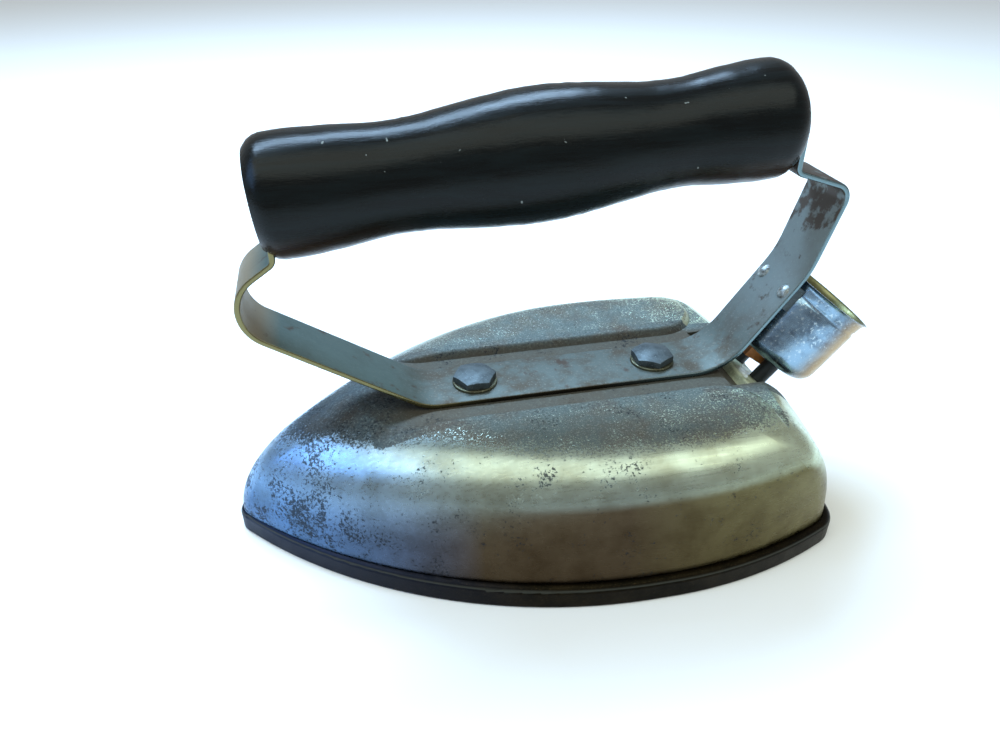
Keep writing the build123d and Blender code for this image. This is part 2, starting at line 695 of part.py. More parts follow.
def plate_plane():
    """The top of the terminal plate, square to the rear leg and centred on the iron."""
    flat = cup_plane(0)
    return Plane(
        origin=flat.origin + flat.z_dir * PLATE_TOP + flat.x_dir * PLATE_SHIFT,
        x_dir=flat.x_dir,
        z_dir=flat.z_dir,
    )


def build_terminal_plate():
    """Porcelain plate in the cover's rear opening, with a hole for each stem."""
    length, width, height = PLATE_SIZE
    plate = Pos(0, 0, -height) * extrude(RectangleRounded(length, width, 2.5), height)
    plate = fillet(plate.edges().group_by(Axis.Z)[-1], 0.8)
    tongue = extrude(RectangleRounded(LEAD_OPENING[0] - 0.4, LEAD_OPENING[1] - 0.4, 2.8), -height - 3)
    plate = plate_plane().location * (plate + tongue)
    for y in pin_ys():
        plate -= cup_plane().location * Pos(0, y, PLATE_TOP) * Cylinder(STEM_DIAMETER / 2 + 0.4, 20)
    return plate


def build_stem_nuts():
    """Two hexagon nuts that hold the stems under the terminal plate."""
    across, height = NUT_SIZE
    nuts = []
    for y in pin_ys():
        nut = extrude(Pos(0, y, STEM_FOOT + NUT_UP) * RegularPolygon(across / 2, 6, major_radius=False), height)
        nuts.append(nut - Pos(0, y, STEM_FOOT) * Cylinder(STEM_DIAMETER / 2, 20))
    return in_cup_frame(nuts)


# ---------------------------------------------------------------- writing the parts
def stack_levels():
    """Heights of the layers on the sole plate's seat, from the lower mica to the heat shield."""
    lower_mica = SEAT_Z
    card = lower_mica + MICA_THICKNESS + RIBBON_THICKNESS
    ribbon = card + CARD_THICKNESS
    upper_mica = ribbon + RIBBON_THICKNESS
    pressure_plate = upper_mica + MICA_THICKNESS
    shield = pressure_plate + PRESSURE_PLATE_THICKNESS
    return lower_mica, card, ribbon, upper_mica, pressure_plate, shield


def main():
    lower_mica, card, ribbon, upper_mica, pressure_plate, shield = stack_levels()
    parts = {
        "sole_plate": build_sole_plate(),
        "lower_mica": build_mica(lower_mica),
        "element_card": build_element_card(card),
        "heating_ribbon": build_heating_ribbon(ribbon),
        "return_strip": build_return_strip(card),
        "lead_strips": build_lead_strips(card),
        "upper_mica": build_mica(upper_mica) - lead_notch(upper_mica),
        "pressure_plate": build_pressure_plate(pressure_plate),
        "plate_screws": build_plate_screws(pressure_plate),
        "heat_shield": build_heat_shield(shield),
        "cover": build_cover(),
        "handle_strap": build_handle_strap(),
        "strap_bolts": build_strap_bolts(),
        "bolt_washers": build_bolt_washers(),
        "handle": build_handle(),
        "handle_pins": build_handle_pins(),
        "plug_cup": build_plug_cup(),
        "cup_saddle": build_cup_saddle(),
        "cup_rivets": build_cup_rivets(),
        "contact_pins": build_contact_pins(),
        "pin_disc": build_pin_disc(),
        "fibre_block": build_fibre_block(),
        "pin_sleeves": build_pin_sleeves(),
        "terminal_plate": build_terminal_plate(),
        "stem_nuts": build_stem_nuts(),
    }
    os.makedirs("parts", exist_ok=True)
    for name, shape in parts.items():
        export_step(shape, f"parts/{name}.step")
        print(f"{name}: {len(shape.solids())} solid(s), {shape.volume:.0f} mm3")


if __name__ == "__main__":
    main()
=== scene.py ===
# %% [markdown]
# # A flat electric iron, dressed for its portrait
# The imported CAD model is the frame: every piece here stands exactly where the frame says. The handle's
# outline, the bolts' height and the cup's place are read from the frame, so that a change there moves those
# Blender pieces with it; the other sizes and places are given as numbers.

# %% Load the frame
import json
from math import cos, hypot, pi, radians, sin, sqrt, tan

import bpy
from mathutils import Matrix, Vector


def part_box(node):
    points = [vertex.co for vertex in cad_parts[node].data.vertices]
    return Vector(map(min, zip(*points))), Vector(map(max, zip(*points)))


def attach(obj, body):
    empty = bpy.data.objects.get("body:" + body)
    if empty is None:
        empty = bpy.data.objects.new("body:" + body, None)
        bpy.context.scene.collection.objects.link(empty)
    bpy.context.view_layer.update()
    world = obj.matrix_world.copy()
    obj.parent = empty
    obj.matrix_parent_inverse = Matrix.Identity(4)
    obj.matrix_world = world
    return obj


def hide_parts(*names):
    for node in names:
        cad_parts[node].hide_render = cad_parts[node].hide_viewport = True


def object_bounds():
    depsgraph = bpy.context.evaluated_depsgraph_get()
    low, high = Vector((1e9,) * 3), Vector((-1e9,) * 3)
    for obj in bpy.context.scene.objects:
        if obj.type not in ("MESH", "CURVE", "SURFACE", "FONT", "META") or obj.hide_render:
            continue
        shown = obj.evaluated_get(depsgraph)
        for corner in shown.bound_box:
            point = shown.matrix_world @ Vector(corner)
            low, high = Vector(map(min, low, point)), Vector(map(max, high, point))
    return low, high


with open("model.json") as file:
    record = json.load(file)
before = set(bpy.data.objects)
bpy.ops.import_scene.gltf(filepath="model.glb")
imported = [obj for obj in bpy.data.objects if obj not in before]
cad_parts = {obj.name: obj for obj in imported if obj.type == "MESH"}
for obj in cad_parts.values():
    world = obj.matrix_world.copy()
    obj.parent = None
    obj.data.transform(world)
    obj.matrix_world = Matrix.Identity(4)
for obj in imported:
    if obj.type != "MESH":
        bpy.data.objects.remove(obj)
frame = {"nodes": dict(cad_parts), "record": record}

CAD_BOX = [list(corner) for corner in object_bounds()]
MM = 0.001
print("CAD box in mm:", [[round(v / MM, 1) for v in corner] for corner in CAD_BOX])

# %% [markdown]
# ## Camera
# The iron is seen from its left, a little ahead of it and from above, by a camera held close. A wide lens
# near the object gives the strong perspective: the toe and the near side look larger than the far side.

# %% Camera
CAMERA_SPOT = Vector((-49.2, -186.6, 167.8)) * MM
CAMERA_YAW = 12.33
CAMERA_DOWN = 33.14
LENS_MM = 27.8

bpy.ops.object.camera_add(
    location=CAMERA_SPOT, rotation=(radians(90 - CAMERA_DOWN), 0, radians(-CAMERA_YAW))
)
camera = bpy.context.object
camera.name = "camera"
camera.data.sensor_width = 36
camera.data.lens = LENS_MM
camera.data.clip_start = 0.01
bpy.context.scene.camera = camera
print("camera looks down by", CAMERA_DOWN, "degrees")

# %% [markdown]
# ## Colours and nodes
# Two helpers carry every finish. The first turns the sRGB hex code that a colour picker shows into the
# linear numbers that the shader works in. The second adds one node: its settings are plain attributes,
# and each input is either a value or another node's output, which is then linked.

# %% Helpers for finishes
def linear(code):
    """An sRGB hex colour as linear red, green, blue and alpha."""
    parts = [int(code[i : i + 2], 16) / 255 for i in (1, 3, 5)]
    return tuple(p / 12.92 if p <= 0.04045 else ((p + 0.055) / 1.055) ** 2.4 for p in parts) + (1.0,)


def add_node(tree, kind, settings=(), inputs=()):
    """Adds a node, with attributes from settings, and with values or links for its inputs."""
    node = tree.nodes.new("ShaderNode" + kind)
    for name, value in dict(settings).items():
        setattr(node, name, value)
    for name, value in dict(inputs).items():
        if isinstance(value, bpy.types.NodeSocket):
            tree.links.new(value, node.inputs[name])
        else:
            node.inputs[name].default_value = value
    return node


def new_finish(name):
    """A material with a Principled shader, and Object coordinates counted in millimetres."""
    finish = bpy.data.materials.new(name)
    finish.use_nodes = True
    tree = finish.node_tree
    tree.nodes.clear()
    shader = add_node(tree, "BsdfPrincipled")
    add_node(tree, "OutputMaterial", inputs={"Surface": shader.outputs["BSDF"]})
    place = add_node(tree, "TexCoord").outputs["Object"]
    in_mm = add_node(tree, "Mapping", inputs={"Vector": place, "Scale": (1 / MM,) * 3}).outputs["Vector"]
    return finish, tree, shader, in_mm


print("a mid grey is", [round(v, 3) for v in linear("#808080")])

# %% [markdown]
# ## Working by hand, in code
# Each new piece begins as a primitive and is shaped in edit mode. An operator acts on everything that is
# selected, and the frame arrives selected, so each piece starts by letting go of everything else. When a
# piece is done its place is applied, so that its object sits at the origin as a CAD node's does.

# %% Helpers for modelling
def let_go():
    """Leaves edit mode and selects nothing."""
    if bpy.context.object and bpy.context.object.mode != "OBJECT":
        bpy.ops.object.mode_set(mode="OBJECT")
    bpy.ops.object.select_all(action="DESELECT")


def pick(obj):
    """Makes this piece the only one selected, and the active one."""
    let_go()
    obj.select_set(True)
    bpy.context.view_layer.objects.active = obj


def use_modifier(obj, kind, **settings):
    """Adds a modifier with these settings and applies it."""
    pick(obj)
    modifier = obj.modifiers.new(kind.lower(), kind)
    for name, value in settings.items():
        setattr(modifier, name, value)
    bpy.ops.object.modifier_apply(modifier=modifier.name)


def settle(obj, place, name):
    """Moves the piece by a matrix, applies the place to the mesh, and names the piece."""
    pick(obj)
    obj.matrix_world = place @ obj.matrix_world
    bpy.ops.object.transform_apply(location=True, rotation=True, scale=True)
    bpy.ops.object.mode_set(mode="EDIT")
    bpy.ops.mesh.select_all(action="SELECT")
    bpy.ops.mesh.normals_make_consistent(inside=False)
    bpy.ops.object.mode_set(mode="OBJECT")
    obj.name = obj.data.name = name


def dress(obj, *finishes):
    """Gives a piece its finishes, the first for slot 0."""
    obj.data.materials.clear()
    for finish in finishes:
        obj.data.materials.append(finish)
    print(obj.name, "wears", ", ".join(finish.name for finish in finishes))


def stand_for(obj, *nodes):
    """The piece rides on the iron, replaces these CAD nodes and takes the first one's slot."""
    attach(obj, "root")
    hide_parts(*nodes)
    print(obj.name, len(obj.data.polygons), "faces, stands for", ", ".join(nodes))


def turned(rings, segments):
    """A closed turned piece on the Z axis: a small disc, extruded and resized from ring to ring."""
    let_go()
    radius, height = rings[0]
    bpy.ops.mesh.primitive_circle_add(
        vertices=segments, radius=radius, fill_type="NGON", location=(0, 0, height)
    )
    piece = bpy.context.object
    bpy.ops.object.transform_apply(location=True)
    bpy.ops.object.mode_set(mode="EDIT")
    for new_radius, new_height in rings[1:]:
        bpy.ops.mesh.extrude_region_move(TRANSFORM_OT_translate={"value": (0, 0, new_height - height)})
        grow = new_radius / radius
        bpy.ops.transform.resize(value=(grow, grow, 1), center_override=(0, 0, new_height))
        radius, height = new_radius, new_height
    bpy.ops.mesh.select_all(action="SELECT")
    bpy.ops.mesh.normals_make_consistent(inside=False)
    bpy.ops.object.mode_set(mode="OBJECT")
    return piece


def smooth(obj, angle):
    """Shades the piece smooth, but for edges sharper than this angle in degrees."""
    pick(obj)
    bpy.ops.object.shade_smooth_by_angle(angle=radians(angle))


def uneven(obj, size, depth, seed=0):
    """Pushes the surface in by up to depth, with soft hollows of about this size."""
    cloud = bpy.data.textures.new("hollows_%d_%d" % (size / MM, seed), "CLOUDS")
    cloud.noise_scale = size
    cloud.noise_depth = 1
    use_modifier(
        obj, "DISPLACE", texture=cloud, texture_coords="LOCAL", strength=-depth, mid_level=0.0
    )


print("helpers ready")

# %% [markdown]
# ## Black lacquered handle
# The handle is beech turned on a lathe, dipped in black lacquer and polished by years of hands. Its outline
# is taken off the frame, as a turner takes one off a pattern with callipers, and the piece is drawn out
# ring by ring. Two slots in its underside take the strap's tongues. Soft hollows up to a quarter of a
# millimetre deep break up the reflections as hand-worn wood does.

# %% Model the handle
HANDLE_AXIS_FRONT = Vector((-63.0, 0, 102.2)) * MM
HANDLE_AXIS_REAR = Vector((64.6, 0, 113.3)) * MM
STATIONS = 90
NEAR_STATION = 0.75
HANDLE_SEGMENTS = 96
TIP_RADIUS = 0.6 * MM
HOLLOWS = ((14 * MM, 0.25 * MM, 0), (4 * MM, 0.06 * MM, 1))


def outline_along(node, start, along, stations):
    """(radius, station) pairs: how far a node's surface stands from an axis, from end to end."""
    reach = []
    for vertex in frame["nodes"][node].data.vertices:
        offset = vertex.co - start
        station = offset.dot(along)
        reach.append((station, (offset - along * station).length))
    low, high = min(reach)[0], max(reach)[0]
    step = (high - low) / stations
    rings = []
    for number in range(stations + 1):
        middle = low + step * number
        near = [radius for station, radius in reach if abs(station - middle) < NEAR_STATION * step]
        if near:
            rings.append((max(near), middle))
    return rings


def build_handle():
    """Turns the handle on its own axis, wears it, and stands it on the line between its two ends."""
    along = (HANDLE_AXIS_REAR - HANDLE_AXIS_FRONT).normalized()
    rings = outline_along("handle", HANDLE_AXIS_FRONT, along, STATIONS)
    first, last = rings[0], rings[-1]
    rings = [(TIP_RADIUS, first[1]), (0.5 * first[0], first[1])] + rings
    rings += [(0.5 * last[0], last[1]), (TIP_RADIUS, last[1])]
    handle = turned(rings, HANDLE_SEGMENTS)
    for size, depth, seed in HOLLOWS:
        uneven(handle, size, depth, seed)
    upright = Vector((0, 0, 1)).rotation_difference(along).to_matrix().to_4x4()
    settle(handle, Matrix.Translation(HANDLE_AXIS_FRONT) @ upright, "turned_handle")
    return handle, rings


handle, handle_rings = build_handle()
print("widest radius in mm:", round(max(radius for radius, _ in handle_rings) / MM, 2))

# %% Cut the slots for the tongues
TONGUE_XS = (-66.3 * MM, 69.8 * MM)
TONGUE_TOPS = (99.0 * MM, 110.0 * MM)
STRAP_WIDTH = 19.05 * MM
STRAP_THICKNESS = 1.5875 * MM
SLOT_ROOM = 0.3 * MM
SLOT_CUT = 30 * MM

for x, top in zip(TONGUE_XS, TONGUE_TOPS):
    let_go()
    bpy.ops.mesh.primitive_cube_add(size=1, location=(x, 0, top + SLOT_ROOM - SLOT_CUT / 2))
    cutter = bpy.context.object
    cutter.scale = (STRAP_THICKNESS + SLOT_ROOM, STRAP_WIDTH + SLOT_ROOM, SLOT_CUT)
    pick(cutter)
    bpy.ops.object.transform_apply(location=True, scale=True)
    use_modifier(handle, "BOOLEAN", object=cutter, operation="DIFFERENCE", solver="EXACT")
    bpy.data.objects.remove(cutter)
smooth(handle, 40)
stand_for(handle, "handle")

# %% [markdown]
# ## The strap
# One bar of steel, three quarters of an inch wide, is bent at seven places into the flat on the cover, the
# two legs and the two tongues. It is made here in the same order as in the shop: a short end of the bar is
# drawn out along each straight and spun round each bend. Its long edges are then eased by a small bevel,
# which is what catches the light on a real bar.

# %% Model the strap
FLAT_Z = 40.3 + STRAP_THICKNESS / MM / 2
STRAP_CORNERS = (
    ((-66.3, 99.0), None),
    ((-66.3, 88.7), 2.2),
    ((-85.2, 76.0), 10.5),
    ((-31.3, FLAT_Z), 14.0),
    ((58.9, FLAT_Z), 19.0),
    ((80.3, 70.9), 26.0),
    ((87.3, 95.6), 4.5),
    ((69.8, 101.3), 2.2),
    ((69.8, 110.0), None),
)
RUN_STEP = 2.5 * MM
BEND_STEP = radians(6)
SEAM_GAP = 0.002 * MM


def build_strap():
    """The bar's end, drawn out to each bend and spun round it, from the front tongue to the rear one."""
    points = [Vector((x, 0, z)) * MM for (x, z), _ in STRAP_CORNERS]
    radii = [0 if radius is None else radius * MM for _, radius in STRAP_CORNERS]
    let_go()
    bpy.ops.mesh.primitive_plane_add(size=1, location=points[0])
    strap = bpy.context.object
    strap.scale = (STRAP_THICKNESS, STRAP_WIDTH, 1)
    pick(strap)
    bpy.ops.object.transform_apply(location=True, scale=True)
    bpy.ops.object.mode_set(mode="EDIT")
    bpy.ops.mesh.subdivide(number_cuts=1)
    here = points[0]
    for number in range(1, len(points)):
        along = (points[number] - points[number - 1]).normalized()
        turn, tangent, axis = 0.0, 0.0, Vector((0, 1, 0))
        if number + 1 < len(points):
            onward = (points[number + 1] - points[number]).normalized()
            turn = along.angle(onward)
            axis = along.cross(onward).normalized()
            tangent = radii[number] * tan(turn / 2)
        end = points[number] - along * tangent
        steps = max(1, round((end - here).length / RUN_STEP))
        for _ in range(steps):
            bpy.ops.mesh.extrude_region_move(TRANSFORM_OT_translate={"value": (end - here) / steps})
        here = end
        if turn:
            centre = end + axis.cross(along) * radii[number]
            bpy.ops.mesh.spin(
                steps=max(2, round(turn / BEND_STEP)), angle=-turn, center=centre, axis=axis
            )
            here = points[number] + onward * tangent
    bpy.ops.mesh.select_all(action="SELECT")
    bpy.ops.mesh.remove_doubles(threshold=SEAM_GAP)
    bpy.ops.mesh.normals_make_consistent(inside=False)
    bpy.ops.object.mode_set(mode="OBJECT")
    return strap


strap = build_strap()
strap_low = Vector([min(v.co[i] for v in strap.data.vertices) for i in range(3)])
strap_high = Vector([max(v.co[i] for v in strap.data.vertices) for i in range(3)])
print("strap box in mm:", [round(v / MM, 2) for v in (*strap_low, *strap_high)])

# %% Ease the strap's edges
EDGE_EASE = 0.55 * MM
use_modifier(
    strap, "BEVEL", width=EDGE_EASE, segments=4, limit_method="ANGLE", angle_limit=radians(50)
)
settle(strap, Matrix.Identity(4), "bent_strap")
smooth(strap, 40)
stand_for(strap, "handle_strap")

# %% [markdown]
# ## Bolts
# The two bolts have black hexagon heads, seven sixteenths of an inch across the flats, with a slightly
# domed top. A real head is a hexagon bar whose end was turned to a dome, so here too a six-sided prism is
# cut by a large sphere. Then every edge is rounded a little, as spanners do over the years.

# %% Model the bolts
BOLT_XS = (-16.0 * MM, 39.2 * MM)
BOLT_TURNS = (30.0, 0.0)
BOLT_ACROSS_FLATS = 11.1125 * MM
BOLT_HEAD_HEIGHT = 2.9 * MM
BOLT_DOME_RADIUS = 19.0 * MM
BOLT_SHANK_RADIUS = 3.175 * MM
BOLT_WEAR = 0.38 * MM
SHANK_IN_HEAD = 1 * MM
SHANK_WEAR = 0.5 * MM
BOLT_LOW, BOLT_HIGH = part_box("strap_bolts")


def build_bolt(x, turn):
    """A domed hexagon head with worn edges, and a shank let a little way into it."""
    let_go()
    seat = BOLT_HIGH.z - BOLT_HEAD_HEIGHT
    bpy.ops.mesh.primitive_cylinder_add(
        vertices=6, radius=BOLT_ACROSS_FLATS / sqrt(3), depth=BOLT_HEAD_HEIGHT,
        location=(x, 0, seat + BOLT_HEAD_HEIGHT / 2), rotation=(0, 0, radians(turn)),
    )
    head = bpy.context.object
    bpy.ops.mesh.primitive_uv_sphere_add(
        segments=128, ring_count=64, radius=BOLT_DOME_RADIUS,
        location=(x, 0, BOLT_HIGH.z - BOLT_DOME_RADIUS),
    )
    dome = bpy.context.object
    use_modifier(head, "BOOLEAN", object=dome, operation="INTERSECT", solver="EXACT")
    bpy.data.objects.remove(dome)
    use_modifier(
        head, "BEVEL", width=BOLT_WEAR, segments=4, limit_method="ANGLE", angle_limit=radians(22)
    )
    let_go()
    top = seat + SHANK_IN_HEAD
    bpy.ops.mesh.primitive_cylinder_add(
        vertices=48, radius=BOLT_SHANK_RADIUS, depth=top - BOLT_LOW.z,
        location=(x, 0, (top + BOLT_LOW.z) / 2),
    )
    shank = bpy.context.object
    use_modifier(
        shank, "BEVEL", width=SHANK_WEAR, segments=2, limit_method="ANGLE", angle_limit=radians(60)
    )
    head.select_set(True)
    bpy.context.view_layer.objects.active = head
    bpy.ops.object.join()
    return head


bolts = [build_bolt(x, turn) for x, turn in zip(BOLT_XS, BOLT_TURNS)]
for number, bolt in enumerate(bolts, 1):
    settle(bolt, Matrix.Identity(4), "hexagon_bolt_%d" % number)
    smooth(bolt, 30)
    stand_for(bolt, "strap_bolts")

# %% [markdown]
# ## The plug cup
# The cup is drawn from thin sheet and plated. Its lip is rolled outwards and a small crease runs round
# under it. It stands along the two contact pins, whose place and direction the record states, so the cup's
# axis is found from them. The wall is drawn up the outside, over the lip and down the inside, so that it
# has a true thickness.

# %% Model the cup
CUP_RADIUS = 15.5 * MM
CUP_DEPTH = 25.4 * MM
CUP_WALL = 0.8 * MM
CUP_FOOT_ROUND = 4.5 * MM
CUP_LIP = 1.1 * MM
LIP_RISE = 0.97
CREASE_DEPTH = 0.35 * MM
CREASE_UP = CUP_DEPTH - 4.2 * MM
CREASE_HALF = 1.0 * MM
LIP_INSETS = (0.15 * MM, 0.55 * MM)
CUP_HUB = 0.5 * MM
CUP_SEGMENTS = 144
PIN_FOOT = 3.2 * MM


def cup_place():
    """The matrix of the cup: its origin at the middle of its foot, Z along the pins, X off the strap."""
    pins = [mount for mount in frame["record"]["mounts"] if mount["kind"] == "pin"]
    along = Vector(pins[0]["axis"]).normalized()
    middle = (Vector(pins[0]["pos_m"]) + Vector(pins[1]["pos_m"])) / 2
    foot = middle - along * (PIN_FOOT + pins[0]["dims"]["length_mm"] * MM / 2)
    across = (Vector(pins[0]["pos_m"]) - Vector(pins[1]["pos_m"])).normalized()
    outward = across.cross(along).normalized()
    place = Matrix((outward, along.cross(outward), along)).transposed().to_4x4()
    place.translation = foot
    return place


def foot_ring(wall, corner, floor, part):
    """One ring of the foot's quarter round, which has eight steps from the floor up to the wall."""
    angle = radians(90 * part / 8)
    return wall - corner * (1 - sin(angle)), floor + corner * (1 - cos(angle))


def crease_ring(wall, part):
    """One ring of the crease, a shallow wave in the wall with eight steps."""
    height = CREASE_UP - CREASE_HALF + 2 * CREASE_HALF * part / 8
    return wall - CREASE_DEPTH * sin(pi * part / 8), height


def lip_ring(wall, part):
    """One ring of the lip's flare, a quarter round twice as tall as it is wide, with six steps."""
    angle = radians(90 * part / 6)
    height = CUP_DEPTH - 2 * CUP_LIP + 2 * CUP_LIP * sin(angle) * LIP_RISE
    return wall + CUP_LIP * (1 - cos(angle)), height


def cup_rings():
    """(radius, height) pairs, up the outside of the cup, over its lip and down the inside."""
    bore = CUP_RADIUS - CUP_WALL
    straight = CREASE_UP - CREASE_HALF - CUP_FOOT_ROUND
    heights = [CUP_FOOT_ROUND + straight * part / 7 for part in range(1, 8)]
    rings = [(CUP_HUB, 0.0), (0.5 * CUP_RADIUS, 0.0)]
    rings += [foot_ring(CUP_RADIUS, CUP_FOOT_ROUND, 0.0, part) for part in range(9)]
    rings += [(CUP_RADIUS, height) for height in heights]
    rings += [crease_ring(CUP_RADIUS, part) for part in range(1, 8)]
    rings += [lip_ring(CUP_RADIUS, part) for part in range(1, 7)]
    rings += [(CUP_RADIUS + CUP_LIP - inset, CUP_DEPTH) for inset in LIP_INSETS]
    rings += [lip_ring(bore, part) for part in range(5, -1, -1)]
    rings += [crease_ring(bore, part) for part in range(7, 0, -1)]
    rings += [(bore, height) for height in reversed(heights)]
    rings += [foot_ring(bore, CUP_FOOT_ROUND - CUP_WALL, CUP_WALL, part) for part in range(8, -1, -1)]
    return rings + [(0.5 * CUP_RADIUS, CUP_WALL), (CUP_HUB, CUP_WALL)]


cup = turned(cup_rings(), CUP_SEGMENTS)
print("the cup has", len(cup_rings()), "rings")

# %% [markdown]
# ## Dents, and the side that meets the strap
# Thin drawn metal never stays quite round, so the cup is given soft hollows an eighth of a millimetre deep.
# On the strap's side the rolled lip would run into the bar, so whatever lies beyond the bar's face is
# squeezed flat on to it.

# %% Dent the cup and flatten its strap side
CUP_HOLLOW_SIZE = 9 * MM
CUP_HOLLOW_DEPTH = 0.12 * MM
STRAP_SIDE = 15.8 * MM

uneven(cup, CUP_HOLLOW_SIZE, CUP_HOLLOW_DEPTH, 2)
pick(cup)
bpy.ops.object.mode_set(mode="EDIT")
bpy.ops.mesh.select_mode(type="VERT")
bpy.ops.mesh.select_all(action="DESELECT")
bpy.ops.object.mode_set(mode="OBJECT")
for vertex in cup.data.vertices:
    vertex.select = vertex.co.x < -STRAP_SIDE
bpy.ops.object.mode_set(mode="EDIT")
bpy.ops.transform.resize(value=(0, 1, 1), center_override=(-STRAP_SIDE, 0, 0))
bpy.ops.object.mode_set(mode="OBJECT")
settle(cup, cup_place(), "plug_cup_shell")
smooth(cup, 45)
stand_for(cup, "plug_cup")
cup_corners = [cup.matrix_world @ v.co for v in cup.data.vertices]
cup_box = [round(f(v[i] for v in cup_corners) / MM, 2) for f in (min, max) for i in range(3)]
print("cup box in mm:", cup_box)

# %% [markdown]
# ## Worn nickel plate
# The cover is pressed steel with nickel plate. Half a life on the stove has baked its flat top to a matt
# grey-brown with specks of rust and left the rounded shoulders bright. The steep walls carry a painted
# reflection of a dark table in brown, so the finish asks how steep each point is and how far along the iron
# it lies. The border of the matt field is broken up by fine noise, as real wear is. Pits gather near the
# toe.

# %% Where the matt field lies
def matt_field(tree, axis, flat, grit, blotch):
    """The matt field: all that lies flat, all of the channel, and less of the slope to the toe."""
    nose = add_node(
        tree, "MapRange", inputs={"Value": axis["X"], "From Min": -30.0, "From Max": -58.0, "To Max": 0.125}
    ).outputs["Result"]
    rear = add_node(
        tree, "MapRange", inputs={"Value": axis["X"], "From Min": 42.0, "From Max": 66.0, "To Max": -0.03}
    ).outputs["Result"]
    aside = add_node(tree, "Math", {"operation": "ABSOLUTE"}, {0: axis["Y"]}).outputs[0]
    channel = add_node(
        tree, "MapRange", inputs={"Value": aside, "From Min": 21.0, "From Max": 18.0, "To Max": 1.3}
    ).outputs["Result"]
    behind_nose = add_node(
        tree, "MapRange", inputs={"Value": axis["X"], "From Min": -48.0, "From Max": -35.0}
    ).outputs["Result"]
    high = add_node(
        tree, "MapRange", inputs={"Value": axis["Z"], "From Min": 22.0, "From Max": 30.0}
    ).outputs["Result"]
    channel = add_node(tree, "Math", {"operation": "MULTIPLY"}, {0: channel, 1: behind_nose}).outputs[0]
    channel = add_node(tree, "Math", {"operation": "MULTIPLY"}, {0: channel, 1: high}).outputs[0]
    drive = flat
    for part, share in ((nose, 1.0), (rear, 1.0), (channel, 1.0), (grit, 0.42), (blotch, 0.1)):
        drive = add_node(
            tree, "Math", {"operation": "MULTIPLY_ADD"}, {0: part, 1: share, 2: drive}
        ).outputs[0]
    matt = add_node(
        tree, "MapRange", inputs={"Value": drive, "From Min": 1.205, "From Max": 1.225}
    ).outputs["Result"]
    return matt, aside, behind_nose


print("mask for the matt field ready")

# %% [markdown]
# ## Plate and painted reflections
# Where the plate is left it is a mirror-like silver. Its colour also carries painted light: a painted
# highlight that grows towards the heel, a painted reflection of a dark table on the steep walls, and a
# painted blue reflection at the toe. It gives the eye a pale band on the shoulders, brown below it, and a
# cooler light at the toe.

# %% Colour of the plate
def plate_colour(tree, axis, flat, toe, blotch):
    """Bright plate on the shoulders with a painted highlight growing to the heel, a painted reflection of a
    dark table on the steep walls, and a painted blue reflection towards the toe.
    """
    # painted reflection: the steep walls are coloured brown by how steep they are, as a dark table below
    # would show in them
    wall_reflection = add_node(
        tree, "MapRange", {"interpolation_type": "SMOOTHSTEP"},
        {"Value": flat, "From Min": 0.6, "From Max": 0.12},
    ).outputs["Result"]
    # painted highlight: shoulders and walls are coloured lighter towards the heel, where the shoulder band
    # shines most
    heel = add_node(
        tree, "MapRange", inputs={"Value": axis["X"], "From Min": 15.0, "From Max": 80.0}
    ).outputs["Result"]
    wall = add_node(
        tree, "Mix", {"data_type": "RGBA"}, {0: heel, 6: linear("#4a3d2d"), 7: linear("#776f47")}
    ).outputs[2]
    # painted reflection: walls and shoulders are coloured blue towards the toe, as a blue light there would
    # show in them
    wall = add_node(
        tree, "Mix", {"data_type": "RGBA"}, {0: toe, 6: wall, 7: linear("#4f7099")}
    ).outputs[2]
    bright = add_node(
        tree, "Mix", {"data_type": "RGBA"}, {0: heel, 6: linear("#a9b5a8"), 7: linear("#d4dfc0")}
    ).outputs[2]
    bright = add_node(
        tree, "Mix", {"data_type": "RGBA"}, {0: toe, 6: bright, 7: linear("#86a9cc")}
    ).outputs[2]
    plate = add_node(tree, "Mix", {"data_type": "RGBA"}, {0: wall_reflection, 6: bright, 7: wall}).outputs[2]
    stain = add_node(
        tree, "MapRange", inputs={"Value": blotch, "From Min": 0.42, "From Max": 0.66, "To Max": 0.45}
    ).outputs["Result"]
    plate = add_node(
        tree, "Mix", {"data_type": "RGBA", "blend_type": "MULTIPLY"},
        {0: stain, 6: plate, 7: linear("#a08c6c")},
    ).outputs[2]
    return plate


print("bright plate is", [round(v, 3) for v in linear("#a9b5a8")])

# %% [markdown]
# ## Oxide, rust and pits
# Baked nickel turns to a dull blue-grey oxide, with brown where rust has come through in patches about
# sixteen millimetres wide. It gives the eye a matt, speckled top. The specks are drawn two thirds of a
# millimetre wide and the pits nearly one, coarser than the real ones, so that they show from where the
# camera stands.

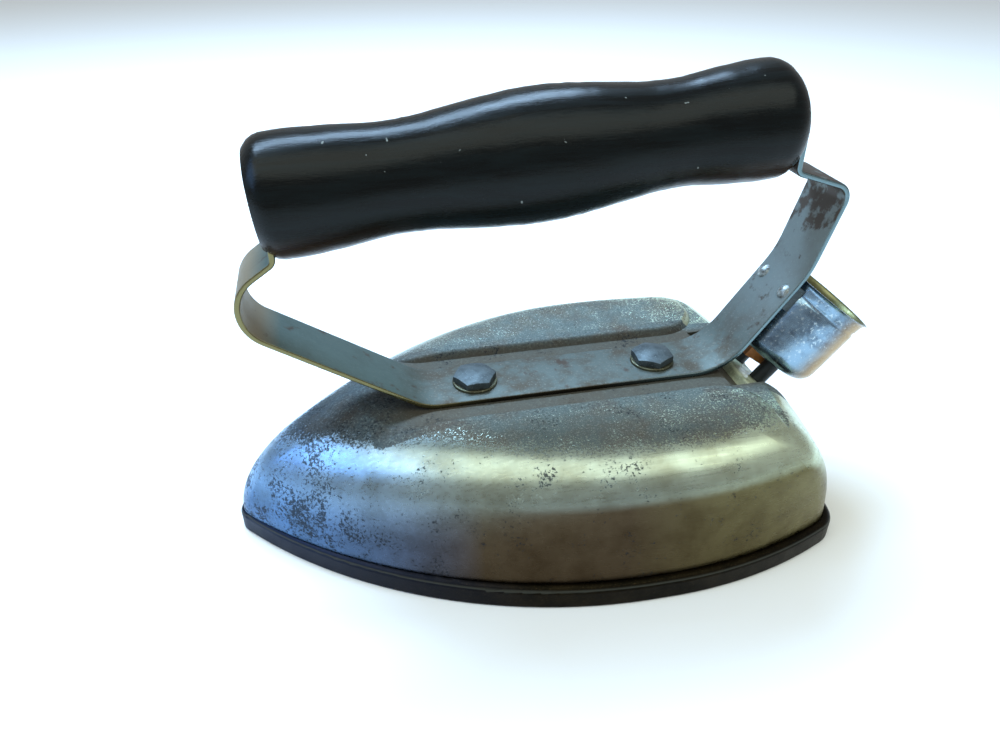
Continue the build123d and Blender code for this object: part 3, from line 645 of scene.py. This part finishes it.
# %% Colour of the matt field, and pits
def field_colour(tree, mm, grit, toe, aside, behind_nose):
    """Blue-grey oxide, brown rust in soft patches, pale and dark specks, painted blue shade at the toe, and
    painted shade on the channel floor.
    """
    patch = add_node(
        tree, "TexNoise", inputs={"Vector": mm, "Scale": 0.06, "Detail": 7.0, "Roughness": 0.7}
    ).outputs["Fac"]
    rust = add_node(
        tree, "MapRange", inputs={"Value": patch, "From Min": 0.42, "From Max": 0.64}
    ).outputs["Result"]
    field = add_node(
        tree, "Mix", {"data_type": "RGBA"}, {0: rust, 6: linear("#5b6765"), 7: linear("#5a5246")}
    ).outputs[2]
    for begins, full, colour in ((0.55, 0.62, "#8f9488"), (0.44, 0.38, "#3b3a38")):
        speck = add_node(
            tree, "MapRange", inputs={"Value": grit, "From Min": begins, "From Max": full, "To Max": 0.8}
        ).outputs["Result"]
        field = add_node(
            tree, "Mix", {"data_type": "RGBA"}, {0: speck, 6: field, 7: linear(colour)}
        ).outputs[2]
    # painted blue shade: the oxide is darkened and turned blue towards the toe
    field = add_node(
        tree, "Mix", {"data_type": "RGBA", "blend_type": "MULTIPLY"},
        {0: toe, 6: field, 7: linear("#6f86a6")},
    ).outputs[2]
    # painted shade: the channel floor beside the strap is coloured darker brown, behind the nose
    channel_shade = add_node(
        tree, "MapRange", inputs={"Value": aside, "From Min": 18.6, "From Max": 16.4, "To Max": 0.75}
    ).outputs["Result"]
    channel_shade = add_node(tree, "Math", {"operation": "MULTIPLY"}, {0: channel_shade, 1: behind_nose}).outputs[0]
    field = add_node(
        tree, "Mix", {"data_type": "RGBA"}, {0: channel_shade, 6: field, 7: linear("#4e4638")}
    ).outputs[2]
    return field


def pitting(tree, mm, toe):
    """Small dark cells, many near the toe and few elsewhere."""
    pit_noise = add_node(
        tree, "TexNoise", inputs={"Vector": mm, "Scale": 1.1, "Detail": 5.0, "Roughness": 0.75}
    ).outputs["Fac"]
    pit_group = add_node(
        tree, "TexNoise", inputs={"Vector": mm, "Scale": 0.1, "Detail": 3.0}
    ).outputs["Fac"]
    pit_drive = pit_noise
    for part, share in ((pit_group, 0.6), (toe, 0.13)):
        pit_drive = add_node(
            tree, "Math", {"operation": "MULTIPLY_ADD"}, {0: part, 1: share, 2: pit_drive}
        ).outputs[0]
    pits = add_node(
        tree, "MapRange", inputs={"Value": pit_drive, "From Min": 0.95, "From Max": 0.985, "To Max": 0.8}
    ).outputs["Result"]
    return pits


print("oxide is", [round(v, 3) for v in linear("#5b6765")])

# %% [markdown]
# ## The cover's finish, put together
# The matt field is rougher and less metallic than the plate, as oxide is. The plate keeps the fine lines of
# its polishing, which run along the iron and draw its reflections out. They are drawn six tenths of a
# millimetre apart, coarser than real ones, which are too fine to show.

# %% Nickel finish
def nickel_cover_finish():
    """Worn nickel plate: fine grit under a millimetre, and blotches of about a centimetre."""
    finish, tree, shader, mm = new_finish("worn_nickel_plate_on_pressed_steel")
    axis = add_node(tree, "SeparateXYZ", inputs={"Vector": mm}).outputs
    normal = add_node(tree, "NewGeometry").outputs["Normal"]
    flat = add_node(tree, "SeparateXYZ", inputs={"Vector": normal}).outputs["Z"]
    grit = add_node(
        tree, "TexNoise", inputs={"Vector": mm, "Scale": 1.5, "Detail": 4.0, "Roughness": 0.75}
    ).outputs["Fac"]
    blotch = add_node(
        tree, "TexNoise", inputs={"Vector": mm, "Scale": 0.09, "Detail": 5.0, "Roughness": 0.6}
    ).outputs["Fac"]
    toe = add_node(
        tree, "MapRange", inputs={"Value": axis["X"], "From Min": -22.0, "From Max": -74.0}
    ).outputs["Result"]
    matt, aside, behind_nose = matt_field(tree, axis, flat, grit, blotch)
    plate = plate_colour(tree, axis, flat, toe, blotch)
    field = field_colour(tree, mm, grit, toe, aside, behind_nose)
    pits = pitting(tree, mm, toe)
    base = add_node(tree, "Mix", {"data_type": "RGBA"}, {0: matt, 6: plate, 7: field}).outputs[2]
    base = add_node(
        tree, "Mix", {"data_type": "RGBA"}, {0: pits, 6: base, 7: linear("#2b2f34")}
    ).outputs[2]
    long_lines = add_node(
        tree, "Mapping", inputs={"Vector": mm, "Scale": (0.06, 1.6, 1.6)}
    ).outputs["Vector"]
    lines = add_node(
        tree, "TexNoise", inputs={"Vector": long_lines, "Scale": 1.0, "Detail": 3.0}
    ).outputs["Fac"]
    rough = add_node(
        tree, "MapRange",
        inputs={"Value": lines, "From Min": 0.3, "From Max": 0.7, "To Min": 0.24, "To Max": 0.38},
    ).outputs["Result"]
    rough = add_node(tree, "Mix", {}, {0: matt, 2: rough, 3: 0.68}).outputs[0]
    rough = add_node(
        tree, "Math", {"operation": "MULTIPLY_ADD"}, {0: pits, 1: 0.3, 2: rough}
    ).outputs[0]
    metal = add_node(
        tree, "MapRange", inputs={"Value": matt, "To Min": 1.0, "To Max": 0.45}
    ).outputs["Result"]
    height = add_node(tree, "Math", {"operation": "MULTIPLY"}, {0: grit, 1: matt}).outputs[0]
    height = add_node(
        tree, "Math", {"operation": "MULTIPLY_ADD"}, {0: pits, 1: -0.8, 2: height}
    ).outputs[0]
    bump = add_node(
        tree, "Bump", inputs={"Strength": 0.5, "Distance": 0.15 * MM, "Height": height}
    ).outputs["Normal"]
    for socket, source in (
        ("Base Color", base), ("Roughness", rough), ("Metallic", metal), ("Normal", bump)
    ):
        tree.links.new(source, shader.inputs[socket])
    return finish


dress(frame["nodes"]["cover"], nickel_cover_finish())

# %% [markdown]
# ## Cast iron sole
# The sole is cast iron, ground and then blackened by heat and polish. Its rim is nearly black with a soft
# sheen, browner at the heel, with a painted blue reflection towards the toe and a painted highlight line
# along its sloping lip, and the grain of the casting, about a third of a millimetre, shows in the highlight.
# The same recipe of patches, specks and grain serves every other worn metal here, with its own colours and
# sizes in millimetres.

# %% Cast iron finish
def worn_metal_finish(name, colours, rough, grain, patch_size, metallic=0.9, bump_depth=0.05):
    """Dark or rusty metal: two colours in soft patches, a third in specks, and a fine grain."""
    finish, tree, shader, mm = new_finish(name)
    patch = add_node(
        tree, "TexNoise", inputs={"Vector": mm, "Scale": 1 / patch_size, "Detail": 6.0, "Roughness": 0.65}
    ).outputs["Fac"]
    fine = add_node(
        tree, "TexNoise", inputs={"Vector": mm, "Scale": 1 / grain, "Detail": 3.0, "Roughness": 0.6}
    ).outputs["Fac"]
    amount = add_node(
        tree, "MapRange", inputs={"Value": patch, "From Min": 0.42, "From Max": 0.62}
    ).outputs["Result"]
    base = add_node(
        tree, "Mix", {"data_type": "RGBA"}, {0: amount, 6: linear(colours[0]), 7: linear(colours[1])}
    ).outputs[2]
    speck = add_node(
        tree, "MapRange", inputs={"Value": fine, "From Min": 0.58, "From Max": 0.66}
    ).outputs["Result"]
    base = add_node(
        tree, "Mix", {"data_type": "RGBA"}, {0: speck, 6: base, 7: linear(colours[2])}
    ).outputs[2]
    dull = add_node(
        tree, "MapRange",
        inputs={"Value": patch, "From Min": 0.3, "From Max": 0.7, "To Min": rough[0], "To Max": rough[1]},
    ).outputs["Result"]
    bump = add_node(
        tree, "Bump", inputs={"Strength": 0.5, "Distance": bump_depth * MM, "Height": fine}
    ).outputs["Normal"]
    shader.inputs["Metallic"].default_value = metallic
    for socket, source in (("Base Color", base), ("Roughness", dull), ("Normal", bump)):
        tree.links.new(source, shader.inputs[socket])
    return finish, tree, shader, mm, base


def iron_finish():
    """Blackened cast iron, with a painted blue reflection at the toe and a painted highlight line on its
    sloping lip.
    """
    finish, tree, shader, mm, base = worn_metal_finish(
        "blackened_cast_iron", ("#1d180f", "#12100b", "#32291b"), (0.4, 0.55), 0.35, 9.0, 1.0
    )
    axis = add_node(tree, "SeparateXYZ", inputs={"Vector": mm}).outputs
    # painted reflection: the iron is coloured blue towards the toe, as the blue light there would show in it
    fore = add_node(
        tree, "MapRange", inputs={"Value": axis["X"], "From Min": -10.0, "From Max": -80.0, "To Max": 0.9}
    ).outputs["Result"]
    base = add_node(
        tree, "Mix", {"data_type": "RGBA"}, {0: fore, 6: base, 7: linear("#232b3d")}
    ).outputs[2]
    normal = add_node(tree, "NewGeometry").outputs["Normal"]
    up = add_node(tree, "SeparateXYZ", inputs={"Vector": normal}).outputs["Z"]
    # painted highlight: a thin grey band on the sloping lip, where the rim's rounding catches the light
    rubbed = add_node(
        tree, "MapRange", inputs={"Value": up, "From Min": 0.3, "From Max": 0.45, "To Max": 0.6}
    ).outputs["Result"]
    lip_band_top = add_node(
        tree, "MapRange", inputs={"Value": up, "From Min": 0.7, "From Max": 0.5}
    ).outputs["Result"]
    rubbed = add_node(tree, "Math", {"operation": "MULTIPLY"}, {0: rubbed, 1: lip_band_top}).outputs[0]
    base = add_node(
        tree, "Mix", {"data_type": "RGBA"}, {0: rubbed, 6: base, 7: linear("#55564e")}
    ).outputs[2]
    tree.links.new(base, shader.inputs["Base Color"])
    return finish


cast_iron = iron_finish()
dress(frame["nodes"]["sole_plate"], cast_iron)

# %% [markdown]
# ## Strap steel, bolts and rivets
# The strap was nickelled too, but hands and heat have worn it to a mottled grey-brown, with rust in patches
# and a bright line along the rubbed edges. The bolts are blued steel gone dull. The rivets are bare steel.

# %% Steel finishes
def strap_finish():
    """Worn nickelled steel: greener at the front, brown at the front bend, paler on the rear leg."""
    finish, tree, shader, mm, base = worn_metal_finish(
        "worn_nickelled_bar_steel", ("#545d59", "#4c463b", "#6b6b63"), (0.5, 0.66), 0.7, 9.0, 0.5
    )
    axis = add_node(tree, "SeparateXYZ", inputs={"Vector": mm}).outputs
    front = add_node(
        tree, "MapRange", inputs={"Value": axis["X"], "From Min": -28.0, "From Max": -40.0, "To Max": 0.7}
    ).outputs["Result"]
    base = add_node(
        tree, "Mix", {"data_type": "RGBA"}, {0: front, 6: base, 7: linear("#4c625f")}
    ).outputs[2]
    bend = add_node(
        tree, "MapRange", inputs={"Value": axis["X"], "From Min": -68.0, "From Max": -73.0, "To Max": 0.75}
    ).outputs["Result"]
    base = add_node(
        tree, "Mix", {"data_type": "RGBA"}, {0: bend, 6: base, 7: linear("#8c7c64")}
    ).outputs[2]
    back_leg = add_node(
        tree, "MapRange", inputs={"Value": axis["Z"], "From Min": 46.0, "From Max": 62.0}
    ).outputs["Result"]
    behind = add_node(
        tree, "MapRange", inputs={"Value": axis["X"], "From Min": 40.0, "From Max": 50.0, "To Max": 0.6}
    ).outputs["Result"]
    back_leg = add_node(tree, "Math", {"operation": "MULTIPLY"}, {0: back_leg, 1: behind}).outputs[0]
    base = add_node(
        tree, "Mix", {"data_type": "RGBA"}, {0: back_leg, 6: base, 7: linear("#7f8b8c")}
    ).outputs[2]

    # rust: small spots on the whole bar, one large dark patch where the rear leg turns under the handle
    spots = add_node(
        tree, "TexNoise", inputs={"Vector": mm, "Scale": 0.2, "Detail": 6.0, "Roughness": 0.62}
    ).outputs["Fac"]
    high = add_node(
        tree, "MapRange", inputs={"Value": axis["Z"], "From Min": 76.0, "From Max": 92.0, "To Max": 0.4}
    ).outputs["Result"]
    spots = add_node(
        tree, "Math", {"operation": "MULTIPLY_ADD"}, {0: high, 1: behind, 2: spots}
    ).outputs[0]
    rust = add_node(
        tree, "MapRange", inputs={"Value": spots, "From Min": 0.6, "From Max": 0.69, "To Max": 0.9}
    ).outputs["Result"]
    base = add_node(
        tree, "Mix", {"data_type": "RGBA"}, {0: rust, 6: base, 7: linear("#43352b")}
    ).outputs[2]
    tree.links.new(base, shader.inputs["Base Color"])
    return finish


def rubbed_edge_finish():
    """Steel rubbed bare: smoother than the flats, so that a thin bright line follows the bar; its golden
    tint at the front and blue-grey at the rear are painted reflection colours.
    """
    finish, tree, shader, mm = new_finish("rubbed_steel_edge")
    axis = add_node(tree, "SeparateXYZ", inputs={"Vector": mm}).outputs
    back = add_node(
        tree, "MapRange", inputs={"Value": axis["X"], "From Min": 20.0, "From Max": 62.0}
    ).outputs["Result"]
    fore = add_node(
        tree, "MapRange", inputs={"Value": axis["X"], "From Min": -12.0, "From Max": -32.0}
    ).outputs["Result"]
    # painted reflections: the edge is tinted golden towards the front and blue-grey towards the rear, the
    # colours its highlight takes there
    base = add_node(
        tree, "Mix", {"data_type": "RGBA"}, {0: fore, 6: linear("#3b352c"), 7: linear("#78714f")}
    ).outputs[2]
    base = add_node(
        tree, "Mix", {"data_type": "RGBA"}, {0: back, 6: base, 7: linear("#6f858b")}
    ).outputs[2]
    streak = add_node(
        tree, "TexNoise", inputs={"Vector": mm, "Scale": 0.5, "Detail": 4.0}
    ).outputs["Fac"]
    rough = add_node(
        tree, "MapRange", inputs={"Value": streak, "To Min": 0.16, "To Max": 0.36}
    ).outputs["Result"]
    shader.inputs["Metallic"].default_value = 1.0
    tree.links.new(base, shader.inputs["Base Color"])
    tree.links.new(rough, shader.inputs["Roughness"])
    return finish


print("strap and edge finishes ready")

# %% Dress the strap, bolts, washers and rivets
SIDEWAYS = 0.6

dress(strap, strap_finish(), rubbed_edge_finish())
for face in strap.data.polygons:
    face.material_index = 1 if abs(face.normal.y) > SIDEWAYS else 0
# blued steel, worn: blue-grey and half dull, so that the bolt heads stay darker than the bar
blued_steel = worn_metal_finish(
    "blued_steel_gone_dull", ("#515b5e", "#3c4447", "#687275"), (0.46, 0.62), 0.5, 4.0, 0.6
)[0]
for bolt in bolts:
    dress(bolt, blued_steel)
# stained steel: an olive ring of grease and heat round each bolt
olive_steel = worn_metal_finish(
    "stained_washer_steel", ("#6d6f5c", "#4f4a3a", "#8b8a70"), (0.35, 0.5), 0.6, 5.0
)[0]
dress(frame["nodes"]["bolt_washers"], olive_steel)
# bare steel: small bright heads with a hammered look
bright_steel = worn_metal_finish(
    "bare_rivet_steel", ("#9aa3a3", "#6d6e6a", "#b8bcb8"), (0.32, 0.5), 0.5, 1.5, 0.9, 0.2
)[0]
dress(frame["nodes"]["cup_rivets"], bright_steel)
dress(frame["nodes"]["cup_saddle"], blued_steel)

# %% [markdown]
# ## Black lacquer
# Lacquer is a clear hard film over a black ground, so it is a dark base with a coat that has its own
# gloss. Polishing by hand leaves soft streaks along the grain, and chips show the pale wood filler in small
# flecks.

# %% Lacquer finish
def lacquer_finish():
    """Black lacquer: streaks two millimetres apart, finer rubbing on top, and a few small flecks."""
    finish, tree, shader, mm = new_finish("black_lacquer_on_turned_beech")
    grain_space = add_node(
        tree, "Mapping", inputs={"Vector": mm, "Scale": (0.03, 0.5, 0.5)}
    ).outputs["Vector"]
    grain = add_node(
        tree, "TexNoise", inputs={"Vector": grain_space, "Scale": 1.0, "Detail": 5.0, "Roughness": 0.6}
    ).outputs["Fac"]
    fleck_noise = add_node(
        tree, "TexNoise", inputs={"Vector": mm, "Scale": 0.35, "Detail": 2.0, "Roughness": 0.5}
    ).outputs["Fac"]
    flecks = add_node(
        tree, "MapRange", inputs={"Value": fleck_noise, "From Min": 0.745, "From Max": 0.765, "To Max": 0.7}
    ).outputs["Result"]
    tint = add_node(
        tree, "MapRange", inputs={"Value": grain, "From Min": 0.4, "From Max": 0.65}
    ).outputs["Result"]
    base = add_node(
        tree, "Mix", {"data_type": "RGBA"}, {0: tint, 6: linear("#040707"), 7: linear("#081011")}
    ).outputs[2]
    base = add_node(
        tree, "Mix", {"data_type": "RGBA"}, {0: flecks, 6: base, 7: linear("#8d9490")}
    ).outputs[2]

    # the brown wood shows through on the underside, towards both ends
    normal = add_node(tree, "NewGeometry").outputs["Normal"]
    up = add_node(tree, "SeparateXYZ", inputs={"Vector": normal}).outputs["Z"]
    low = add_node(
        tree, "MapRange", inputs={"Value": up, "From Min": -0.35, "From Max": -0.8}
    ).outputs["Result"]
    along = add_node(tree, "SeparateXYZ", inputs={"Vector": mm}).outputs["X"]
    along = add_node(tree, "Math", {"operation": "ABSOLUTE"}, {0: along}).outputs[0]
    ends = add_node(
        tree, "MapRange", inputs={"Value": along, "From Min": 28.0, "From Max": 62.0, "To Max": 0.8}
    ).outputs["Result"]
    brown = add_node(tree, "Math", {"operation": "MULTIPLY"}, {0: low, 1: ends}).outputs[0]
    base = add_node(
        tree, "Mix", {"data_type": "RGBA"}, {0: brown, 6: base, 7: linear("#3a2412")}
    ).outputs[2]

    # the ground has the grain's relief, and the coat its own finer one from rubbing
    rough = add_node(
        tree, "MapRange",
        inputs={"Value": grain, "From Min": 0.35, "From Max": 0.65, "To Min": 0.2, "To Max": 0.36},
    ).outputs["Result"]
    bump = add_node(
        tree, "Bump", inputs={"Strength": 0.35, "Distance": 0.12 * MM, "Height": grain}
    ).outputs["Normal"]
    rub_space = add_node(
        tree, "Mapping", inputs={"Vector": mm, "Scale": (0.25, 1.4, 1.4)}
    ).outputs["Vector"]
    rub = add_node(
        tree, "TexNoise", inputs={"Vector": rub_space, "Scale": 1.0, "Detail": 4.0, "Roughness": 0.7}
    ).outputs["Fac"]
    coat_bump = add_node(
        tree, "Bump", inputs={"Strength": 0.6, "Distance": 0.12 * MM, "Height": rub}
    ).outputs["Normal"]
    shader.inputs["IOR"].default_value = 1.5
    shader.inputs["Specular IOR Level"].default_value = 0.06
    shader.inputs["Coat Weight"].default_value = 0.22
    shader.inputs["Coat Roughness"].default_value = 0.17
    for socket, source in (
        ("Base Color", base), ("Roughness", rough), ("Normal", bump), ("Coat Normal", coat_bump)
    ):
        tree.links.new(source, shader.inputs[socket])
    return finish


dress(handle, lacquer_finish())

# %% [markdown]
# ## The cup's plate and what is under it
# The cup's nickel is brighter and bluer than the cover's, with a straw-brown painted reflection of the dark
# table on the side away from the strap. Inside it is dull and olive, partly dirt and partly painted shade
# that makes the bore read as deep. Under it, vulcanised fibre is orange-brown, the sleeves are black and the
# plate is unglazed porcelain gone greenish with dirt.

# %% Cup and inlet finishes
def cup_finish():
    """Blue-white nickel, with a straw-brown painted reflection of the dark table below on the side that
    faces away from the strap.
    """
    finish, tree, shader, _, base = worn_metal_finish(
        "nickel_plate_on_drawn_cup", ("#8aa6bc", "#5c6c7c", "#b4c6d0"), (0.16, 0.34), 0.9, 8.0, 1.0, 0.05
    )
    off_strap = cup_place().col[0].to_3d()
    normal = add_node(tree, "NewGeometry").outputs["Normal"]
    facing = add_node(
        tree, "VectorMath", {"operation": "DOT_PRODUCT"}, {0: normal, 1: off_strap}
    ).outputs["Value"]
    # painted reflection: the side turned away from the strap and down is coloured straw-brown, as the dark
    # table would show in it
    straw = add_node(
        tree, "MapRange", {"interpolation_type": "SMOOTHSTEP"},
        {"Value": facing, "From Min": -0.15, "From Max": 0.45, "To Max": 0.92},
    ).outputs["Result"]
    base = add_node(
        tree, "Mix", {"data_type": "RGBA"}, {0: straw, 6: base, 7: linear("#a3824c")}
    ).outputs[2]
    tree.links.new(base, shader.inputs["Base Color"])
    return finish


def plain_finish(name, colour, second, rough, grain, metallic=0.0):
    """A quiet finish for what is half hidden: two near colours in patches of six millimetres."""
    return worn_metal_finish(name, (colour, second, colour), rough, grain, 6.0, metallic, 0.08)[0]


print("finishes for the cup ready")

# %% Dress the cup, outside and in
TURNED_IN = -0.1
WALL_SHARE = 0.6
LIP_UP = CREASE_UP + 1.2 * MM
FLOOR_UP = 0.5

# dulled plate: olive and dirty, with painted shade, so that the bore reads as deep
shaded_inside_of_cup = plain_finish("dulled_and_shaded_plate_inside_cup", "#7d7c58", "#5c5a3c", (0.3, 0.5), 0.8, 0.9)
dress(cup, cup_finish(), shaded_inside_of_cup)
cup_inverse = cup_place().inverted()
for face in cup.data.polygons:
    middle = cup_inverse @ face.center
    normal = cup_inverse.to_3x3() @ face.normal
    turned_in = normal.dot(Vector((middle.x, middle.y, 0)).normalized()) < TURNED_IN
    within_wall = hypot(middle.x, middle.y) < CUP_RADIUS - WALL_SHARE * CUP_WALL
    is_wall = turned_in and (within_wall or middle.z > LIP_UP)
    is_floor = normal.z > FLOOR_UP and within_wall
    face.material_index = int(is_wall or is_floor)
print(sum(face.material_index for face in cup.data.polygons), "faces inside the cup")

# %% Dress what stands in the cup
# node, then the finish: name, two colours, roughness, grain in mm, metallic
INLET = (
    # fibre board: a warm orange-brown block, matt as paper
    ("fibre_block", ("vulcanised_fibre", "#d58a44", "#b06a2c", (0.4, 0.6), 0.5)),
    # varnished sleeving: black, with a little sheen
    ("pin_sleeves", ("black_sleeve", "#161a1b", "#1f2627", (0.4, 0.6), 0.5)),
    # unglazed porcelain: pale greenish grey, where dirt has gone in
    ("terminal_plate", ("dirty_porcelain", "#c3c9ac", "#8d9478", (0.3, 0.55), 0.6)),
    # brass pins: dull gold with darker patches
    ("contact_pins", ("dulled_brass", "#8d7a4a", "#6d5c38", (0.3, 0.5), 0.5, 1.0)),
    # moulded disc: brown-black and half matt
    ("pin_disc", ("moulded_black_disc", "#1c1916", "#28231d", (0.45, 0.6), 0.5)),
)
for node, finish_facts in INLET:
    dress(frame["nodes"][node], plain_finish(*finish_facts))

# %% [markdown]
# ## Hidden pieces
# The pieces sealed under the cover never show, but each still gets the finish of what it is.

# %% Finishes for the hidden pieces
HIDDEN = (
    (
        ("lower_mica", "upper_mica", "element_card"),
        ("amber_mica", "#a08a5a", "#8a7448", (0.2, 0.35), 2.0),
    ),
    (("heating_ribbon", "return_strip"), ("oxidised_ribbon", "#5a544c", "#48423a", (0.4, 0.5), 0.5, 1.0)),
    (("lead_strips", "stem_nuts"), ("plain_brass", "#9a8650", "#7a683c", (0.3, 0.4), 0.5, 1.0)),
    (("heat_shield",), ("grey_millboard", "#b5b0a4", "#9d978a", (0.8, 0.95), 0.8)),
)
for nodes, finish_facts in HIDDEN:
    finish = plain_finish(*finish_facts)
    for node in nodes:
        dress(frame["nodes"][node], finish)
dress(frame["nodes"]["pressure_plate"], cast_iron)
for node in ("plate_screws", "handle_pins"):
    dress(frame["nodes"][node], blued_steel)

# %% [markdown]
# ## Stage
# A plain pale floor and soft light. One wide lamp stands behind and above, as a window would, and draws the
# long light along the handle; a bluer one stands off the toe; a wide pale one fills from behind the camera.

# %% Floor and light
FLOOR_SIDE = 6.0
FLOOR_COLOUR = "#f4f4f2"
FLOOR_ROUGHNESS = 0.9
ROOM_COLOUR = "#eef2f4"
ROOM_STRENGTH = 0.5

bpy.ops.mesh.primitive_plane_add(size=FLOOR_SIDE, location=(0, 0, CAD_BOX[0][2]))
floor = bpy.context.object
floor.name = "pale_floor"
# matt paper: it only catches shadows and throws soft light back up
floor_finish, _, floor_shader, _ = new_finish("pale_paper_floor")
floor_shader.inputs["Base Color"].default_value = linear(FLOOR_COLOUR)
floor_shader.inputs["Roughness"].default_value = FLOOR_ROUGHNESS
dress(floor, floor_finish)

# %% Lamps and room
# name, place in m, sides in m, power in W, colour
LAMPS = (
    ("back_window_lamp", (-0.1, 0.42, 0.76), (0.75, 0.17), 13.0, "#b8dcff"),
    ("toe_window_lamp", (-0.75, -0.05, 0.5), (0.45, 0.45), 2.6, "#8fc0ff"),
    ("room_lamp", (-0.1, -0.36, 1.0), (2.0, 0.75), 9.0, "#f6fff2"),
)
for name, spot, sides, watts, colour in LAMPS:
    bpy.ops.object.light_add(type="AREA", location=spot)
    lamp = bpy.context.object
    lamp.name = name
    lamp.data.shape = "RECTANGLE"
    lamp.data.size, lamp.data.size_y = sides
    lamp.data.energy = watts
    lamp.data.color = linear(colour)[:3]
    lamp.rotation_euler = (-Vector(spot)).to_track_quat("-Z", "Y").to_euler()

world = bpy.data.worlds.new("soft_room")
world.use_nodes = True
world.node_tree.nodes["Background"].inputs["Color"].default_value = linear(ROOM_COLOUR)
world.node_tree.nodes["Background"].inputs["Strength"].default_value = ROOM_STRENGTH
bpy.context.scene.world = world
bpy.context.scene.view_settings.view_transform = "Standard"
print(len(LAMPS), "lamps and a soft room")
